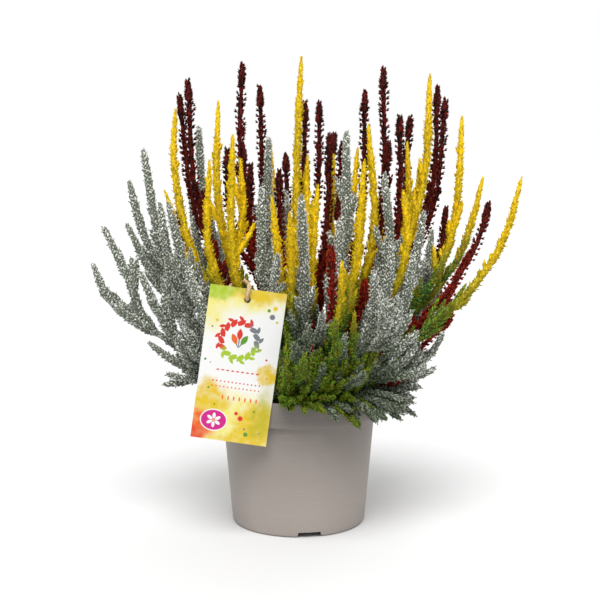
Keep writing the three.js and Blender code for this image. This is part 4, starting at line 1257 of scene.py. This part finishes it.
# Each ring of the wreath: radius, number of leaves, half width, half length and lean of a leaf
WREATH_RINGS = [(13.2, 15, 1.9, 4.9, 62), (16.3, 13, 1.2, 2.8, -48)]
# Each bud of the spray: turn, length of its stalk and ink
SPRAY = [(-28, 7.5, PRINT_ORANGE), (0, 10.5, PRINT_RED), (30, 7.5, PRINT_GREEN)]
SPRAY_FOOT = 6
STALK_HALF_WIDTH = 0.5
BUD_HALF_WIDTH = 2.1
BUD_HALF_LENGTH = 4.4
# Each row of dots: across, up, step, dots on either side of the middle one, reach across, reach up and ink
ROWS = [
    (0, -4.5, 3.7, 4, 1.15, 0.55, PRINT_RED), (0, -13, 2.9, 6, 0.6, 0.6, PRINT_RED),
    (0, -17, 2.9, 6, 0.6, 0.6, PRINT_ORANGE), (4, -25, 4.2, 3, 0.6, 1.7, PRINT_ORANGE),
]
# Each spot: across, up, radius and ink
SPOTS = [
    (17, 44, 1.2, PRINT_GREEN), (21.5, 46, 1.6, PRINT_YELLOW), (20, 39.5, 2.0, PRINT_GREY),
    (24, 36, 0.9, PRINT_YELLOW), (-23, 27, 0.7, PRINT_GREY), (-20, 32, 1.0, PRINT_YELLOW),
    (20, 7, 0.8, PRINT_RED), (-25, 2, 0.9, PRINT_GREEN), (-21, 0, 0.5, PRINT_GREY),
    (22, -7, 0.6, PRINT_ORANGE), (-20, -19, 0.8, PRINT_GREEN), (-14, -31, 0.7, PRINT_GREEN),
    (12, -51, 1.7, PRINT_GREEN), (10.5, -47, 0.8, PRINT_GREY), (3, -36, 1.4, PRINT_RED),
    (6.5, -39.5, 1.9, PRINT_RED), (16, -33, 0.8, PRINT_GREEN), (22, -49, 0.6, PRINT_GREY),
]
DISC = (-13, -43)
DISC_EDGE = (10.2, 8.4)
DISC_REACH = (9.4, 7.6)
PETALS = 6
PETAL_PLACE = 3.4
PETAL_REACH = (1.2, 2.2)
FLOWER_EYE = 0.9


def label_print(tree, around, across, up):
    """The colour of the print at a place on the card, in millimetres across and up from its middle."""
    drifts = []
    for coarse in WASH_RAGGEDNESS:
        drift = result_of(tree, "ShaderNodeTexNoise", Vector=around, Scale=coarse, Detail=4.0)
        drifts.append(between(tree, drift, 0.0, 1.0, -WASH_DRIFT, WASH_DRIFT))
    grain = result_of(tree, "ShaderNodeTexNoise", Vector=around, Scale=WASH_GRAIN, Detail=5.0)
    density = between(tree, grain, 0.3, 0.6, 0.6, 1.0)
    ragged = arithmetic(tree, "ADD", across, drifts[0]), arithmetic(tree, "ADD", up, drifts[1])
    card = across, up
    colour = CARD_WHITE
    for wash_across, wash_up, reach_across, reach_up, soft, ink, strength in WASHES:
        mask = round_spot(tree, laid(tree, ragged, wash_across, wash_up), reach_across, reach_up, soft)
        mask = times(tree, mask, times(tree, density, strength))
        colour = blended(tree, mask, colour, ink)
    # A wreath of leaves, red at the upper left, grey and then yellow green towards the lower right
    wreath = laid(tree, card, *WREATH)
    ink = blended(tree, between(tree, wreath[1], -8.0, 1.0, kind="SMOOTHSTEP"), PRINT_LIME, PRINT_GREY)
    upper_left = arithmetic(tree, "SUBTRACT", wreath[1], wreath[0])
    ink = blended(tree, between(tree, upper_left, 0.0, 8.0, kind="SMOOTHSTEP"), ink, PRINT_RED)
    for radius, count, half_width, half_length, lean in WREATH_RINGS:
        leaf = laid(tree, round_repeat(tree, wreath, count), 0, radius, lean)
        colour = blended(tree, leaf_spot(tree, leaf, half_width, half_length), colour, ink)
    # A spray of three buds on stalks inside the wreath
    for turn, length, ink in SPRAY:
        upright = laid(tree, card, WREATH[0], WREATH[1] - SPRAY_FOOT, turn)
        stalk = leaf_spot(tree, laid(tree, upright, 0, length / 2), STALK_HALF_WIDTH, length / 2)
        colour = blended(tree, stalk, colour, PRINT_GREY)
        bud = leaf_spot(tree, laid(tree, upright, 0, length), BUD_HALF_WIDTH, BUD_HALF_LENGTH)
        colour = blended(tree, bud, colour, ink)
    for row_across, row_up, step, half_count, reach_across, reach_up, ink in ROWS:
        stop = row_repeat(tree, laid(tree, card, row_across, row_up), step, half_count)
        colour = blended(tree, round_spot(tree, stop, reach_across, reach_up, 0.25), colour, ink)
    for spot_across, spot_up, radius, ink in SPOTS:
        spot = laid(tree, card, spot_across, spot_up)
        colour = blended(tree, round_spot(tree, spot, radius, radius, 0.2), colour, ink)
    # A magenta disc with a white edge and a white flower with a yellow eye
    disc = laid(tree, card, *DISC)
    petal = laid(tree, round_repeat(tree, disc, PETALS), 0, PETAL_PLACE)
    colour = blended(tree, round_spot(tree, disc, *DISC_EDGE, CRISP), colour, CARD_WHITE)
    colour = blended(tree, round_spot(tree, disc, *DISC_REACH, CRISP), colour, PRINT_MAGENTA)
    colour = blended(tree, round_spot(tree, petal, *PETAL_REACH, 0.12), colour, CARD_WHITE)
    return blended(tree, round_spot(tree, disc, FLOWER_EYE, FLOWER_EYE, 0.2), colour, PRINT_YELLOW)


material, tree, shader = finish_of("printed label card", Roughness=0.4)
around = tree.nodes.new("ShaderNodeTexCoord").outputs["Object"]
apart = new_node(tree, "ShaderNodeSeparateXYZ", Vector=around)
aside = arithmetic(tree, "MULTIPLY_ADD", apart.outputs["X"], 1 / MM, -LABEL_CENTRE.x / MM)
above = arithmetic(tree, "MULTIPLY_ADD", apart.outputs["Z"], 1 / MM, -LABEL_CENTRE.z / MM)
across, up = laid(tree, (aside, above), 0, 0, math.degrees(LABEL_TILT))
printed = label_print(tree, around, across, up)
front = arithmetic(tree, "LESS_THAN", apart.outputs["Y"], LABEL_CENTRE.y + PRINTED_SIDE * MM)
tree.links.new(blended(tree, front, CARD_WHITE, printed), shader.inputs["Base Color"])
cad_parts["label"].data.materials.clear()
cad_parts["label"].data.materials.append(material)

# Label tie
# A closed loop of tan raffia, a dry plant fibre. It runs through the label's hole, over the label's top
# edge and round a yellow stem, and holds the label close to the plant.
RAFFIA_DARK = (0.42, 0.26, 0.12, 1)
RAFFIA_LIGHT = (0.72, 0.52, 0.30, 1)
material, tree, shader = finish_of("tan raffia", Roughness=0.7)
mottle, _ = add_grain(tree, mottle_size=500.0, grain_size=1500.0)
tree.links.new(blended(tree, mottle, RAFFIA_DARK, RAFFIA_LIGHT), shader.inputs["Base Color"])
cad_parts["label_tie"].data.materials.clear()
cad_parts["label_tie"].data.materials.append(material)

# Floor, light and camera
# A pale seamless floor and plain studio walls, with soft light from the front and above. The camera
# stands where the photograph was taken, lower than the tallest tips and looking slightly down.
FLOOR_SIZE = 12.0
FLOOR_COLOUR = (0.72, 0.72, 0.72, 1)
WALL_LIGHT = 0.4
corners = [(x * FLOOR_SIZE, y * FLOOR_SIZE, 0) for x, y in ((-1, -1), (1, -1), (1, 1), (-1, 1))]
floor = mesh_object("studio_floor", corners, [(0, 1, 2, 3)])
material, tree, shader = finish_of(
    "pale floor", Base_Color=FLOOR_COLOUR, Roughness=0.9, Specular_IOR_Level=0.0
)
floor.data.materials.append(material)

# The studio walls: plain white to the camera, dimmer as a light
world = bpy.data.worlds.new("studio")
world.use_nodes = True
tree = world.node_tree
seen = tree.nodes.new("ShaderNodeLightPath").outputs["Is Camera Ray"]
tree.links.new(between(tree, seen, 0.0, 1.0, WALL_LIGHT, 1.0), tree.nodes["Background"].inputs["Strength"])
tree.nodes["Background"].inputs["Color"].default_value = (1, 1, 1, 1)
scene.world = world


def far_light(name, direction, spread, strength):
    """A light from far away in this direction, as soft as its spread in degrees."""
    lamp = bpy.data.lights.new(name, "SUN")
    lamp.angle = math.radians(spread)
    lamp.energy = strength
    holder = bpy.data.objects.new(name, lamp)
    holder.rotation_euler = (-Vector(direction)).to_track_quat("-Z", "Y").to_euler()
    scene.collection.objects.link(holder)


far_light("front_light", (-0.04, -0.5, 0.87), spread=40, strength=3.0)
far_light("top_light", (0.05, 0.1, 1), spread=90, strength=0.5)
far_light("back_light", (0.2, 0.8, 0.8), spread=60, strength=0.8)
scene.view_settings.view_transform = "Standard"

CAMERA_DISTANCE = 0.95
CAMERA_HEIGHT = 0.304
CAMERA_PITCH = math.radians(7.65)
PIXELS = 600
FOCAL_PIXELS = 1217
AXIS_OFFSET_PIXELS = 1.4
SENSOR_WIDTH = 36
lens = bpy.data.cameras.new("photo camera")
lens.sensor_width = SENSOR_WIDTH
lens.lens = SENSOR_WIDTH * FOCAL_PIXELS / PIXELS
lens.shift_x = AXIS_OFFSET_PIXELS / PIXELS
camera = bpy.data.objects.new("photo_camera", lens)
camera.location = (0, -CAMERA_DISTANCE, CAMERA_HEIGHT)
camera.rotation_euler = (math.radians(90) - CAMERA_PITCH, 0, 0)
scene.collection.objects.link(camera)
scene.camera = camera
